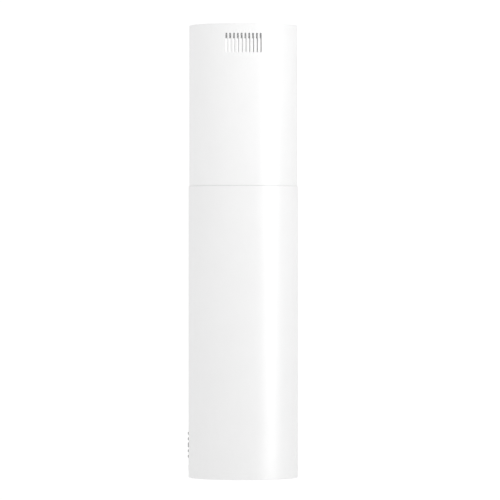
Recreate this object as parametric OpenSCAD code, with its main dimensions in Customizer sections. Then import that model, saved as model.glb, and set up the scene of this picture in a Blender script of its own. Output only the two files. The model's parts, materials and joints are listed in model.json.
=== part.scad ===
// Ceiling-hung kitchen air purifier: a recirculating hood in a two-length cylindrical casing.
// Origin: centre of the ceiling plate's upper face. +Z up, the control panel faces -Y, outlets face -X and +X.
// Everything on the lower unit is drawn with z = 0 at the casing's bottom rim and lifted by lower_place().

/* [Casing] */
// Outer diameter of the lower casing
casing_d = 390; // [330:1:480]
// Sheet thickness of both casings
sheet = 1; // [0.8:0.1:1.5]
// Radial gap between the two casings
casing_gap = 1.5; // [1:0.1:3]
// Ceiling to bottom rim
total_h = 1610; // [1350:1:1950]
// Height of the lower casing
lower_h = 1037; // [850:1:1200]
// Length of the upper casing that stays inside the lower one
casing_overlap = 60; // [40:1:120]
// Inward lip at the free ends of the casings
lip_w = 4; // [2:0.5:6]

/* [Outlet slots] */
// Slots on each side
slot_count = 10; // [6:1:14]
// Width of a slot
slot_w = 6.5; // [4.5:0.1:8]
// Height of a slot
slot_h = 69.2; // [40:0.1:100]
// Distance between slot centres
slot_pitch = 13.4; // [10:0.1:15]
// From the casing's top edge to the slots
slot_top = 35.3; // [30:0.1:60]

/* [Ceiling frame] */
// Thickness of the ceiling plate
plate_t = 3; // [2:0.5:5]
// Depth of the ceiling plate's folded edge
plate_edge_h = 22.5; // [18:0.5:30]
// Thickness of the folded edge
plate_edge_t = 2; // [1.5:0.5:3]
// Corner radius of the ceiling plate
plate_corner_r = 25; // [15:1:35]
// Clearance from the plate's corners to the upper casing
plate_clear = 11; // [5:1:20]
// Diameter of the ceiling bolt holes
bolt_d = 8.5; // [6:0.5:10]
// Distance between the bolt holes along the front
bolt_y = 100; // [60:1:120]
// Leg of the angle rails
rail_leg = 20; // [15:1:25]
// Thickness of the angle rails
rail_t = 2; // [1.5:0.5:3]
// Clearance between nested rails
rail_clear = 0.4; // [0.3:0.1:1]
// Shortest overlap of the rails
rail_overlap = 150; // [100:1:200]
// How far the hood can be raised
height_travel = 400; // [200:1:400]
// Room left under the upper rails when raised
rail_end_gap = 91; // [60:1:120]
// Diameter of the clamp screws
clamp_d = 6; // [5:1:8]

/* [Deck and duct] */
// Height of the deck above the bottom rim
deck_h = 362; // [350:1:420]
// Thickness of the deck and the bottom plate
pan_t = 1.5; // [1:0.1:2]
// Outer diameter of the duct collar
collar_d = 150; // [120:1:150]
// Height of the duct collar above its flange
collar_h = 45; // [35:1:60]
// Wall of the duct collar
collar_t = 2; // [1.5:0.5:3]
// Thickness of the damper flaps
flap_t = 1.6; // [1.2:0.1:2.5]

/* [Blower] */
// Radius of the fan wheel
wheel_r = 75; // [65:1:80]
// Width of the fan wheel
wheel_w = 96; // [80:1:100]
// Number of blades
blade_count = 30; // [20:1:40]
// Inner half-width of the scroll
scroll_half_w = 60; // [55:1:64]
// Wall of the scroll
scroll_t = 2.5; // [2:0.5:3]
// Height of the fan axis above the bottom rim
fan_h = 186; // [180:1:200]
// Motor shaft diameter
shaft_d = 8; // [6:1:10]
// Motor case diameter
motor_d = 92; // [80:1:96]
// Outer diameter of the carbon cartridges
carbon_d = 200; // [180:1:205]

/* [Intake] */
// Clearance from the filter well's corners to the casing
well_clear = 16; // [12:1:30]
// Clearance around the grease filter
filter_clear = 0.6; // [0.4:0.1:1]
// Thickness of the grease filter
filter_t = 9; // [8:0.5:10]
// Radius of the lamp bodies
lamp_r = 19; // [16:0.5:20]

/* [Controls] */
// Button diameter
button_d = 9.8; // [8:0.1:12]
// How far buttons and display stand out of the wall
button_proud = 2.3; // [1.8:0.1:4]
// Button travel
button_travel = 1.5; // [1:0.1:1.8]
// Display centre above the bottom rim
panel_z = 115.7; // [105:0.1:150]
// Distance from the display to the inner buttons
inner_step = 21.4; // [19:0.1:26]
// Distance from the display to the outer buttons
outer_step = 41; // [36:0.1:50]
// Height of the display window
display_h = 16.6; // [14:0.1:20]
// Width of the display window
display_w = 22; // [16:0.5:26]
// Badge plate centre above the bottom rim
badge_z = 34.7; // [30:0.1:45]
// Height of the badge plate
badge_h = 17.8; // [12:0.1:20]
// Width of the badge plate
badge_w = 44; // [30:1:60]

/* [Hidden] */
$fn = 96;
eps = 0.5;                                   // how far a cutting tool runs past a face

// casings
lower_r = casing_d / 2;
lower_in = lower_r - sheet;
upper_r = lower_in - casing_gap;
upper_in = upper_r - sheet;
top_gap = 1;                                 // the upper casing hangs this far under the ceiling
upper_len = total_h - lower_h + casing_overlap - top_gap;
seam_felt_t = casing_gap - 0.3;              // felt fills the gap but for a sliding clearance
seam_felt_h = 12;
seam_felt_drop = 2.5;

// ceiling frame
plate_half = plate_corner_r + (upper_in - plate_clear - plate_corner_r) / sqrt(2);
rail_margin = 12;                            // from the plate's edge to the rails
rail_at = plate_half - plate_edge_t - rail_margin;
duct_room = 13;                              // from the collar to the opening in the ceiling plate
plate_open = 2 * (collar_d / 2 + duct_room);
bolt_x = 10 * round((plate_half + plate_open / 2) / 10);  // near the middle of the side bands, to 10 mm
upper_rail_len = total_h - deck_h - height_travel - rail_end_gap;
lower_rail_len = total_h - deck_h - upper_rail_len + rail_overlap;
lower_rail_at = rail_at - rail_t - rail_clear;
clamp_inset = rail_leg * 0.55;               // clamp line measured from a rail's corner
clamp_slot_w = clamp_d + 0.6;
clamp_low = 35;                              // lowest clamp screw above the upper rail's lower end
clamp_step = 45;                             // distance between the two clamp screws of a rail
strap_w = 20;
bracket_w = 40;
bracket_drop = 14;                           // screw line under the ceiling
bracket_t = 2;
casing_screw_d = 4;
notch_clear = 0.3;

// deck and duct
collar_r = collar_d / 2;
collar_in = collar_r - collar_t;
collar_flange_r = collar_r + 9;
collar_flange_t = 2;
pan_skirt_h = 12;
pan_fit = 0.3;                               // pans stand clear of the casing's wall by this much
flap_z = 24;                                 // flap pin above the deck
flap_pin_r = 1.5;
flap_pin_half = collar_r - 0.6;              // the pin's ends sit in blind pockets in the collar's wall
flap_fit = 0.06;                             // running clearance of the flap knuckles
flap_edge = 1.5;                             // from a flap's rim to the collar's wall
knuckle_r = 3;
knuckle_half = 22;                           // half-length of the middle knuckle
knuckle_gap = 1;
knuckle_end = 58;
ledge_w = 3;

// blower
wheel_gap = 8;                               // from the wheel to the scroll at the tongue
scroll_growth = 42;
scroll_r0 = wheel_r + wheel_gap;
scroll_r1 = scroll_r0 + scroll_growth;
tongue_a = 60;
spiral_steps = 36;
scroll_top = 114;                            // scroll's outlet above the fan axis
panel_depth = 23;                            // from the casing's outer face to the back of the panel board
scroll_front = scroll_r0 + scroll_growth * (180 - tongue_a) / (360 - tongue_a) + 5;
blower_clear = 17;                           // from the panel board to the scroll
fan_y = -(lower_r - panel_depth - blower_clear - scroll_front - scroll_t);
outlet_y0 = scroll_r0 * cos(tongue_a);       // outlet channel, from the fan axis
outlet_y1 = scroll_r1;
inlet_r = wheel_r - 9;
blade_depth = 9;
blade_t = 1;
wheel_ring_t = 2.5;
hub_r = 16;
shaft_r = shaft_d / 2;
motor_r = motor_d / 2;
motor_x0 = 8;
motor_x1 = scroll_half_w + scroll_t;         // the motor's mounting face lies in the scroll's outer plane
motor_wall = 2;
cap_t = 6;
bearing_r = shaft_r + 5;
bearing_w = 6;
run_fit = 0.04;                              // running clearance of the shaft
ring_t = 3;                                  // thickness of the inlet grille and the motor bracket
ring_r = inlet_r + 14;
spoke_w = 10;
spoke_step = 0.4;                            // spokes stand back from the plate's two faces
boss_r = 14;
boss_x = 17;                                 // length of the bayonet boss
lug_t = 3;
lug_w = 4;
lug_angle = 40;
bayonet_fit = 0.5;
bayonet_play = 0.3;
carbon_r = carbon_d / 2;
carbon_x0 = 5;                               // cartridge rim from the scroll's side
carbon_w = 32;
carbon_wall = 2;
carbon_recess = 1.6;                         // round the screw heads
carbon_twist = 60;                           // turn that frees a cartridge

// intake
plate_z = 3;                                 // bottom plate above the rim
well_half = (lower_in - well_clear) / sqrt(2);
well_t = 1;
well_h = 15;
filter_half = well_half - filter_clear;
filter_z = plate_z + 0.2;
frame_w = 9;                                 // width of the filter's frame bars
mesh_catch = 3;                              // how far the mesh reaches into the bars
mesh_t = filter_t - 3;
pivot_r = 2;
pivot_len = 3;
pivot_in = 4.5;                              // pivot pins from the filter's back and lower faces
pivot_fit = 0.08;
handle_w = 60;
handle_d = 24;
magnet_r = 3;
magnet_h = 1.4;
ledge_d = 12;
lamp_at = (well_half + well_t + lower_in) / 2;
lamp_h = 18;
bezel_w = 3.2;
bezel_t = 1.4;
lens_t = 1.2;

// controls
bore_clear = 0.3;
carrier_y = -(lower_in - 1);                 // front of the carrier, just behind the curved wall
carrier_t = 3;
carrier_w = display_w + 10;
carrier_margin = 12;
flange_t = 1.5;
board_y = -(lower_r - panel_depth) - 1.6;
board_t = 1.6;
switch_h = 4.3;
switch_w = 6;
plunger_r = 1.7;
plunger_in = 0.5;                            // how far a button's stem sits in its switch at rest
switch_bore = plunger_in + button_travel + 1;
display_back = 10;                           // depth of the display module on the board
button_z = [panel_z + outer_step, panel_z + inner_step, panel_z - inner_step, panel_z - outer_step];

// leads
lead_sides = 8;
panel_lead_r = 2.5;
motor_lead_r = 1.5;
lamp_lead_r = 1.8;
lead_hole_r = 6;                             // holes in the deck that the leads come up through
lead_port_r = 4;                             // ports in the control box's lid
panel_hole = [30, -170];
motor_hole = [88, 108];
lamp_hole = [-74, -167];
panel_port = [46, 374];                      // x, and height above the bottom rim
motor_port = [32, 402];
panel_route = [
    [10, -171.8, 130], [10, -168, 131], [12, -165, 137], [16, -164, 150], [23, -166, 175], [29, -169, 210],
    [30, -170, 250], [30, -170, 300], [30, -170, 350], [30, -169, 363], [34, -164, 368], [44, -150, 367],
    [58, -130, 366], [74, -105, 365], [86, -70, 365], [92, -30, 365], [92, 10, 365], [90, 50, 365],
    [84, 84, 365], [74, 104, 366], [62, 112, 370], [52, 115, 373], [47, 120, 374], [46, 129, 374]
];
motor_lead_angle = 68;                       // round the shaft, from the back towards the top
motor_lead_x = 65;                           // in the gap between the scroll's side and the cartridge
function by_motor(x, r) = [x, fan_y + r * cos(motor_lead_angle), fan_h + r * sin(motor_lead_angle)];
motor_route = concat(
    [by_motor(53, motor_r + 0.2), by_motor(54, motor_r + 6), by_motor(59, motor_r + 12),
     by_motor(64, motor_r + 16), by_motor(motor_lead_x, motor_r + 22), by_motor(motor_lead_x, ring_r),
     by_motor(motor_lead_x, carbon_r + 6)],
    [[68, 4, 306], [74, 28, 322], [81, 58, 336], [87, 88, 346], [88, 106, 356], [88, 109, 368],
     [84, 111, 384], [74, 112, 396], [60, 113, 401], [46, 113, 402], [36, 116, 402], [32, 122, 402],
     [32, 130, 402]]
);
ring_steps = 40;
lamp_ring_r = lamp_at + lamp_r - 7;
lamp_ring_z = plate_z + lamp_h + lamp_lead_r + 0.05;
lamp_drop = [
    [-62.2, -150, 384], [-67, -151, 384], [-72, -156, 381], [-74, -164, 372], [-74, -167, 360],
    [-74, -167, 320], [-74, -167, 260], [-74, -167, 200], [-74, -167, 140], [-74, -167, 80],
    [-74, -166, 45], [-75, -162, 30]
];
lamp_ring = [for (i = [0:ring_steps])
    let (a = -118 - 334 * i / ring_steps) [lamp_ring_r * cos(a), lamp_ring_r * sin(a), lamp_ring_z]];

// electronics on the deck
box_w = 130;
box_d = 36;
box_h = 76;
box_t = 2;
box_back = lower_in - 34;                    // back of the box from the axis
gland_x = 40;
gland_bore_r = 4;
gland_h = 22;
driver_w = 84;
driver_x = -20;
driver_d = 22;
driver_h = 40;
cap_r = 15;
cap_h = 52;

// ---------------------------------------------------------------- helpers

// Points of a rounded rectangle centred on the origin.
function rounded_points(w, d, r, steps = 8) = [
    for (c = [0:3], i = [0:steps])
        let (a = 90 * c + 90 * i / steps,
             sx = (c == 0 || c == 3) ? 1 : -1,
             sy = (c < 2) ? 1 : -1)
        [sx * (w / 2 - r) + r * cos(a), sy * (d / 2 - r) + r * sin(a)]
];

// A flat plate with rounded corners, its lower face at z = 0.
module rounded_plate(w, d, t, r) {
    linear_extrude(height = t) polygon(rounded_points(w, d, r));
}

// A tube standing on z = 0.
module tube(r_out, r_in, h) {
    difference() {
        cylinder(r = r_out, h = h);
        translate([0, 0, -eps]) cylinder(r = r_in, h = h + 2 * eps);
    }
}

// Turns local +Z to +X.
module along_x() { rotate([0, 90, 0]) children(); }

// Turns local +Z to -Y, the way the panel faces.
module along_front() { rotate([90, 0, 0]) children(); }

// Puts the lower unit's own coordinates, with z = 0 at the bottom rim, under the ceiling.
module lower_place() { translate([0, 0, -total_h]) children(); }

// Puts the fan's own coordinates, with the shaft on the X axis, in the lower unit.
module fan_place() { lower_place() translate([0, fan_y, fan_h]) children(); }

// Places a child at the left (side = -1) or right (side = 1), mirrored for the left.
module on_side(side) { if (side > 0) children(); else mirror([1, 0, 0]) children(); }

// A sector of a ring between two angles centred on 0 degrees.
module ring_sector(r_in, r_out, angle, h) {
    steps = 8;
    points = concat(
        [for (i = [0:steps]) let (a = -angle / 2 + angle * i / steps) [r_out * cos(a), r_out * sin(a)]],
        [for (i = [steps:-1:0]) let (a = -angle / 2 + angle * i / steps) [r_in * cos(a), r_in * sin(a)]]
    );
    linear_extrude(height = h) polygon(points);
}

// A tube of round section swept along a list of points, with closed ends.
function unit(v) = v / norm(v);
function tangent(path, i) =
    unit(path[min(i + 1, len(path) - 1)] - path[max(i - 1, 0)]);
function side_of(t) = unit(cross(t, abs(t[2]) < 0.9 ? [0, 0, 1] : [0, 1, 0]));
function carried(side, t) = unit(side - (side * t) * t);
function sides(path, i = 0, done = []) =
    i == len(path) ? done :
    let (t = tangent(path, i), s = i == 0 ? side_of(t) : carried(done[i - 1], t))
    sides(path, i + 1, concat(done, [s]));
module swept_tube(path, r, n = lead_sides) {
    across = sides(path);
    last = len(path) - 1;
    points = [for (i = [0:last], k = [0:n - 1])
        let (t = tangent(path, i), s = across[i], u = cross(t, s), a = 360 * k / n)
        path[i] + r * (cos(a) * s + sin(a) * u)];
    walls = [for (i = [0:last - 1], k = [0:n - 1])
        let (a = i * n + k, b = i * n + (k + 1) % n) [a, a + n, b + n, b]];
    caps = [[for (k = [0:n - 1]) k], [for (k = [n - 1:-1:0]) last * n + k]];
    polyhedron(points = points, faces = concat(walls, caps));
}

// Points on a smooth curve through a list, a few for each span.
function curve_point(p, i, t) =
    let (a = p[max(i - 1, 0)], b = p[i], c = p[i + 1], d = p[min(i + 2, len(p) - 1)])
    0.5 * ((2 * b) + (c - a) * t + (2 * a - 5 * b + 4 * c - d) * t * t + (3 * b - a - 3 * c + d) * t * t * t);
function smooth(p, steps = 3) = concat(
    [for (i = [0:len(p) - 2], k = [0:steps - 1]) curve_point(p, i, k / steps)], [p[len(p) - 1]]);

// ---------------------------------------------------------------- ceiling frame

module ceiling_plate() {
    color("silver") difference() {
        translate([0, 0, -plate_edge_h])
            rounded_plate(2 * plate_half, 2 * plate_half, plate_edge_h, plate_corner_r);
        translate([0, 0, -plate_edge_h - eps])
            rounded_plate(2 * (plate_half - plate_edge_t), 2 * (plate_half - plate_edge_t),
                plate_edge_h - plate_t + eps, plate_corner_r - plate_edge_t);
        translate([0, 0, -plate_t - eps]) rounded_plate(plate_open, plate_open, plate_t + 2 * eps, 10);
        for (x = [-1, 1], y = [-1, 1])
            translate([x * bolt_x / 2, y * bolt_y / 2, -plate_t - eps])
                cylinder(d = bolt_d, h = plate_t + 2 * eps);
        for (side = [-1, 1]) casing_notch(side);
    }
}

// Notch in the folded edge, open downwards, that the casing's screw slides into.
module casing_notch(side) {
    w = casing_screw_d + 2 * notch_clear;
    translate([-w / 2, side * (plate_half - plate_edge_t / 2) - plate_edge_t, -plate_edge_h - eps])
        cube([w, 2 * plate_edge_t, plate_edge_h - bracket_drop + eps]);
    translate([0, side * (plate_half - plate_edge_t / 2) + plate_edge_t, -bracket_drop])
        along_front() cylinder(d = w, h = 2 * plate_edge_t);
}

// L section with its outer corner at the origin and its legs along +X and +Y.
module angle_section(leg, t) {
    polygon([[0, 0], [leg, 0], [leg, t], [t, t], [t, leg], [0, leg]]);
}

// Turns a piece drawn with its outer corner at the origin into the corner at (x, y).
module in_corner(x, y, at) {
    translate([x * at, y * at, 0])
        mirror([x > 0 ? 1 : 0, 0, 0]) mirror([0, y > 0 ? 1 : 0, 0]) children();
}

clamp_slot_low = -upper_rail_len + clamp_low - clamp_slot_w;
clamp_slot_top = -upper_rail_len + clamp_low + clamp_step + height_travel + clamp_slot_w;

module upper_rail(x, y) {
    color("silver") in_corner(x, y, rail_at) difference() {
        translate([0, 0, -upper_rail_len])
            linear_extrude(height = upper_rail_len - plate_t) angle_section(rail_leg, rail_t);
        translate([clamp_inset, rail_t + eps, (clamp_slot_low + clamp_slot_top) / 2])
            along_front() linear_extrude(height = rail_t + 2 * eps)
                polygon(rounded_points(clamp_slot_w, clamp_slot_top - clamp_slot_low, clamp_slot_w / 2 - 0.01));
    }
}

module frame_straps() {
    color("silver") for (x = [-1, 1])
        translate([x > 0 ? rail_at : -rail_at - rail_t, -rail_at, -upper_rail_len + 5])
            cube([rail_t, 2 * rail_at, strap_w]);
}

// ---------------------------------------------------------------- upper casing

module upper_casing() {
    color("white") translate([0, 0, -top_gap - upper_len]) difference() {
        union() {
            tube(upper_r, upper_in, upper_len);
            translate([0, 0, upper_len - sheet]) tube(upper_r, upper_r - lip_w, sheet);
        }
        for (i = [0:slot_count - 1])
            translate([-upper_r - eps, (i - (slot_count - 1) / 2) * slot_pitch, upper_len - slot_top - slot_h / 2])
                along_x() linear_extrude(height = 2 * (upper_r + eps))
                    polygon(rounded_points(slot_h, slot_w, slot_w / 2 - 0.01, 6));
    }
}

tab_gap = 0.6;                               // between the ceiling plate's edge and the bracket
tab_h = 14;

module casing_brackets() {
    inner = plate_half + tab_gap;
    color("silver") for (side = [-1, 1]) on_end(side) difference() {
        intersection() {
            translate([0, 0, -top_gap - upper_len]) cylinder(r = upper_in, h = upper_len);
            union() {
                translate([-bracket_w / 2, -upper_r, -bracket_drop - tab_h / 2])
                    cube([bracket_w, upper_r - inner, bracket_t]);
                translate([-bracket_w / 2, -inner - bracket_t, -bracket_drop - tab_h / 2])
                    cube([bracket_w, bracket_t, tab_h]);
                translate([-bracket_w / 2, -upper_r, -bracket_drop - tab_h / 2])
                    cube([bracket_w, upper_r - upper_in + 1.6 + bracket_t, tab_h]);
            }
        }
        translate([0, -inner + eps, -bracket_drop])
            along_front() cylinder(d = casing_screw_d, h = bracket_t + 2 * eps);
    }
}

// Draws a piece made for the front at the front (-1) or turned round to the back (1).
module on_end(side) { rotate([0, 0, side > 0 ? 180 : 0]) children(); }

module casing_screws() {
    head_h = 2.4;
    nut_h = 3.2;
    inner = plate_half + tab_gap;
    color("gray") for (side = [-1, 1]) on_end(side)
        translate([0, -inner - bracket_t, -bracket_drop]) {
            along_front() cylinder(r = 3.8, h = head_h);
            translate([0, inner + bracket_t - plate_half + plate_edge_t + nut_h + 0.2, 0]) along_front()
                cylinder(d = casing_screw_d, h = inner + bracket_t - plate_half + plate_edge_t + nut_h + 0.2);
            translate([0, inner + bracket_t - plate_half + plate_edge_t + nut_h + 0.2, 0])
                along_front() cylinder(r = 4, h = nut_h, $fn = 6);
        }
}

// ---------------------------------------------------------------- lower casing

module lower_casing() {
    color("white") lower_place() difference() {
        union() {
            tube(lower_r, lower_in, lower_h);
            tube(lower_in + sheet / 2, lower_r - lip_w, sheet);
        }
        for (z = button_z) translate([0, -lower_r + 2 * sheet + eps, z])
            along_front() cylinder(d = button_d + 2 * bore_clear, h = 4 * sheet);
        translate([0, -lower_r + 2 * sheet + eps, panel_z]) along_front() linear_extrude(height = 4 * sheet)
            polygon(rounded_points(display_w + 2 * bore_clear, display_h + 2 * bore_clear, 2, 4));
    }
}

module seam_strip() {
    color("dimgray") lower_place() translate([0, 0, lower_h - seam_felt_drop - seam_felt_h])
        tube(lower_in, lower_in - seam_felt_t, seam_felt_h);
}

module bottom_plate() {
    pan_r = lower_in - pan_fit;
    outer = well_half + well_t;
    color("white") lower_place() difference() {
        union() {
            translate([0, 0, plate_z]) cylinder(r = pan_r, h = pan_t);
            translate([0, 0, plate_z]) tube(pan_r, pan_r - well_t, pan_skirt_h);
            translate([-outer, -outer, plate_z]) cube([2 * outer, 2 * outer, well_h]);
        }
        translate([-well_half, -well_half + ledge_d, plate_z - eps])
            cube([2 * well_half, 2 * well_half - ledge_d, well_h + 2 * eps]);
        translate([-well_half, -well_half, plate_z - eps])
            cube([2 * well_half, ledge_d + eps, filter_z + filter_t + filter_clear - plate_z + eps]);
        translate([-well_half, -well_half, filter_z + filter_t + filter_clear + well_t])
            cube([2 * well_half, ledge_d + eps, well_h]);
        for (a = [0:90:270]) rotate([0, 0, a]) translate([lamp_at, 0, plate_z - eps])
            cylinder(r = lamp_r + bore_clear, h = pan_t + 2 * eps);
        translate([-outer - eps, filter_half - pivot_in, filter_z + pivot_in])
            along_x() cylinder(r = pivot_r + pivot_fit, h = 2 * (outer + eps));
    }
}

module deck_plate() {
    pan_r = lower_in - pan_fit;
    color("silver") lower_place() translate([0, 0, deck_h]) difference() {
        union() {
            translate([0, 0, -pan_t]) cylinder(r = pan_r, h = pan_t);
            translate([0, 0, -pan_skirt_h]) tube(pan_r, pan_r - well_t, pan_skirt_h);
        }
        translate([0, 0, -pan_t - eps]) cylinder(r = collar_in, h = pan_t + 2 * eps);
        for (p = [panel_hole, motor_hole, lamp_hole])
            translate([p[0], p[1], -pan_t - eps]) cylinder(r = lead_hole_r, h = pan_t + 2 * eps);
    }
}

module lower_rail(x, y) {
    color("silver") lower_place() in_corner(x, y, lower_rail_at) difference() {
        translate([0, 0, deck_h]) linear_extrude(height = lower_rail_len) angle_section(rail_leg, rail_t);
        for (i = [0, 1]) translate([clamp_inset - rail_t - rail_clear, rail_t + eps, clamp_z(i)])
            along_front() cylinder(d = clamp_d, h = rail_t + 2 * eps);
    }
}

// Height of clamp screw i above the bottom rim.
function clamp_z(i) = total_h - upper_rail_len + clamp_low + i * clamp_step;

module clamp_screws() {
    head_h = 4;
    nut_h = 5;
    grip = 2 * rail_t + rail_clear;
    color("gray") lower_place() for (x = [-1, 1], y = [-1, 1]) in_corner(x, y, rail_at) for (i = [0, 1])
        translate([clamp_inset, grip + nut_h, clamp_z(i)]) {
            along_front() cylinder(d = clamp_d, h = grip + nut_h);
            along_front() cylinder(r = clamp_d * 0.9, h = nut_h, $fn = 6);
            translate([0, -grip - nut_h - 0.2, 0]) along_front() cylinder(r = clamp_d * 0.85, h = head_h);
            translate([0, -grip - nut_h, 0]) along_front() cylinder(d = clamp_d, h = 0.4);
        }
}

// ---------------------------------------------------------------- blower

// Outline of the scroll in the plane across the shaft: X of the outline is Y of the fan, grown by a wall.
function scroll_outline(grow) = concat(
    [for (i = [0:spiral_steps])
        let (a = tongue_a + (360 - tongue_a) * i / spiral_steps,
             r = scroll_r0 + scroll_growth * i / spiral_steps + grow)
        [r * cos(a), r * sin(a)]],
    [[outlet_y1 + grow, scroll_top], [outlet_y0 - grow, scroll_top]]
);

// Half of the scroll on the +X side, open towards the middle.
module scroll_half() {
    difference() {
        fan_outline(scroll_t, motor_x1);
        translate([-eps, 0, 0]) fan_outline(0, scroll_half_w + eps);
        translate([-eps, outlet_y0, scroll_top - 6]) cube([scroll_half_w + eps, outlet_y1 - outlet_y0, 12]);
        translate([scroll_half_w - eps, 0, 0]) along_x() cylinder(r = inlet_r, h = scroll_t + 2 * eps);
    }
}

// The scroll's outline extruded from x = 0 to a depth.
module fan_outline(grow, depth) {
    rotate([90, 0, 90]) linear_extrude(height = depth) polygon(scroll_outline(grow));
}

module scroll_left() { color("dimgray") fan_place() mirror([1, 0, 0]) scroll_half(); }
module scroll_right() { color("dimgray") fan_place() scroll_half(); }

ring_screws = 4;
ring_screw_r = (inlet_r + ring_r) / 2 + 1;

// A bayonet boss with two lugs, drawn from x = 0 outwards.
module bayonet_boss() {
    along_x() cylinder(r = boss_r, h = boss_x);
    for (a = [0, 180]) rotate([a, 0, 0])
        translate([boss_x - lug_t, 0, 0]) along_x() ring_sector(boss_r - 1, boss_r + lug_w, lug_angle, lug_t);
}

// The spoked plate that closes an inlet, from its mounting face at x = 0.
module inlet_plate(disc_r) {
    along_x() tube(ring_r, inlet_r, ring_t);
    along_x() cylinder(r = disc_r, h = ring_t);
    for (a = [45:90:315]) rotate([a, 0, 0]) translate([spoke_step, disc_r - 2, -spoke_w / 2])
        cube([ring_t - 2 * spoke_step, inlet_r - disc_r + 4, spoke_w]);
    along_x() cylinder(r = boss_r + lug_w + 2, h = carbon_x0 + carbon_recess - bayonet_play);
    translate([ring_t, 0, 0]) bayonet_boss();
}

module inlet_grille() {
    guard_r = [30, 40, 50, 60];
    color("dimgray") fan_place() mirror([1, 0, 0]) translate([motor_x1, 0, 0]) difference() {
        union() {
            inlet_plate(boss_r + 4);
            for (r = guard_r) if (r < inlet_r - 2) along_x() tube(r + 1, r - 1, ring_t);
        }
        inlet_screw_holes();
    }
}

module motor_bracket() {
    notch_w = 2 * motor_lead_r + 1;
    color("gray") fan_place() translate([motor_x1, 0, 0]) difference() {
        inlet_plate(motor_r - 4);
        inlet_screw_holes();
        rotate([motor_lead_angle, 0, 0]) translate([-eps, inlet_r - 4, -notch_w / 2])
            cube([ring_t + 2 * eps, ring_r - inlet_r + 8, notch_w]);
    }
}

module inlet_screw_holes() {
    for (i = [0:ring_screws - 1]) rotate([360 * i / ring_screws, 0, 0])
        translate([-eps, ring_screw_r, 0]) along_x() cylinder(d = 3.5, h = ring_t + 2 * eps);
}

module blower_screws() {
    color("silver") fan_place() for (side = [-1, 1]) on_side(side)
        for (i = [0:ring_screws - 1]) rotate([360 * i / ring_screws, 0, 0])
            translate([motor_x1, ring_screw_r, 0]) {
                along_x() cylinder(d = 3.5, h = ring_t);
                translate([ring_t, 0, 0]) along_x() cylinder(r = 3, h = 1.6);
            }
}

module motor_case() {
    color("gray") fan_place() difference() {
        translate([motor_x0, 0, 0]) along_x() cylinder(r = motor_r, h = motor_x1 - cap_t - motor_x0);
        translate([motor_x0 + bearing_w, 0, 0]) along_x()
            cylinder(r = motor_r - motor_wall, h = motor_x1 - cap_t - motor_x0);
        translate([motor_x0 - eps, 0, 0]) along_x() cylinder(r = bearing_r, h = bearing_w + 2 * eps);
    }
}

module motor_cap() {
    color("gray") fan_place() difference() {
        translate([motor_x1 - cap_t, 0, 0]) along_x() cylinder(r = motor_r, h = cap_t);
        translate([motor_x1 - cap_t - eps, 0, 0]) along_x() cylinder(r = bearing_r, h = bearing_w + 2 * eps);
    }
}

module motor_bearings() {
    color("lightgray") fan_place() for (x = [motor_x0, motor_x1 - cap_t])
        translate([x, 0, 0]) along_x() tube(bearing_r, shaft_r + run_fit, bearing_w);
}

stator_x0 = motor_x0 + bearing_w + 4;
stator_x1 = motor_x1 - cap_t - 4;
rotor_r = 25;
air_gap = 0.5;

module stator() {
    coils = 8;
    color("sienna") fan_place() difference() {
        translate([stator_x0, 0, 0]) along_x() tube(motor_r - motor_wall, rotor_r + air_gap, stator_x1 - stator_x0);
        for (i = [0:coils - 1]) rotate([360 * i / coils, 0, 0])
            translate([stator_x0 - eps, rotor_r + air_gap + 6, 0]) along_x()
                cylinder(r = 3, h = stator_x1 - stator_x0 + 2 * eps);
    }
}

module motor_rotor() {
    color("silver") fan_place() translate([stator_x0, 0, 0]) along_x()
        tube(rotor_r, shaft_r, stator_x1 - stator_x0);
}

module motor_shaft() {
    color("lightgray") fan_place() translate([-hub_r, 0, 0]) along_x()
        cylinder(r = shaft_r, h = motor_x1 + hub_r - 1.5);
}

// One blade across the wheel's width, curved forward.
function blade_points() = let (steps = 6) concat(
    [for (i = [0:steps]) blade_point(i / steps, blade_t / 2)],
    [for (i = [steps:-1:0]) blade_point(i / steps, -blade_t / 2)]
);
function blade_point(s, side) =
    let (r = wheel_r - 1 - blade_depth * (1 - s), a = 7 * s * s - 3 * s)
    [r * cos(a) - side * sin(a + 20), r * sin(a) + side * cos(a + 20)];

module impeller() {
    web_t = 3;
    color("dimgray") fan_place() {
        for (i = [0:blade_count - 1]) rotate([360 * i / blade_count, 0, 0])
            translate([-wheel_w / 2, 0, 0]) along_x() linear_extrude(height = wheel_w) polygon(blade_points());
        for (x = [-wheel_w / 2, wheel_w / 2 - wheel_ring_t])
            translate([x, 0, 0]) along_x() tube(wheel_r, wheel_r - blade_depth, wheel_ring_t);
        difference() {
            union() {
                translate([-web_t, 0, 0]) along_x() cylinder(r = wheel_r - 1.5, h = web_t);
                translate([-hub_r, 0, 0]) along_x() cylinder(r = hub_r, h = hub_r + 4);
            }
            translate([-hub_r - eps, 0, 0]) along_x() cylinder(r = shaft_r, h = hub_r + 5);
        }
    }
}

// ---------------------------------------------------------------- carbon cartridges

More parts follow.
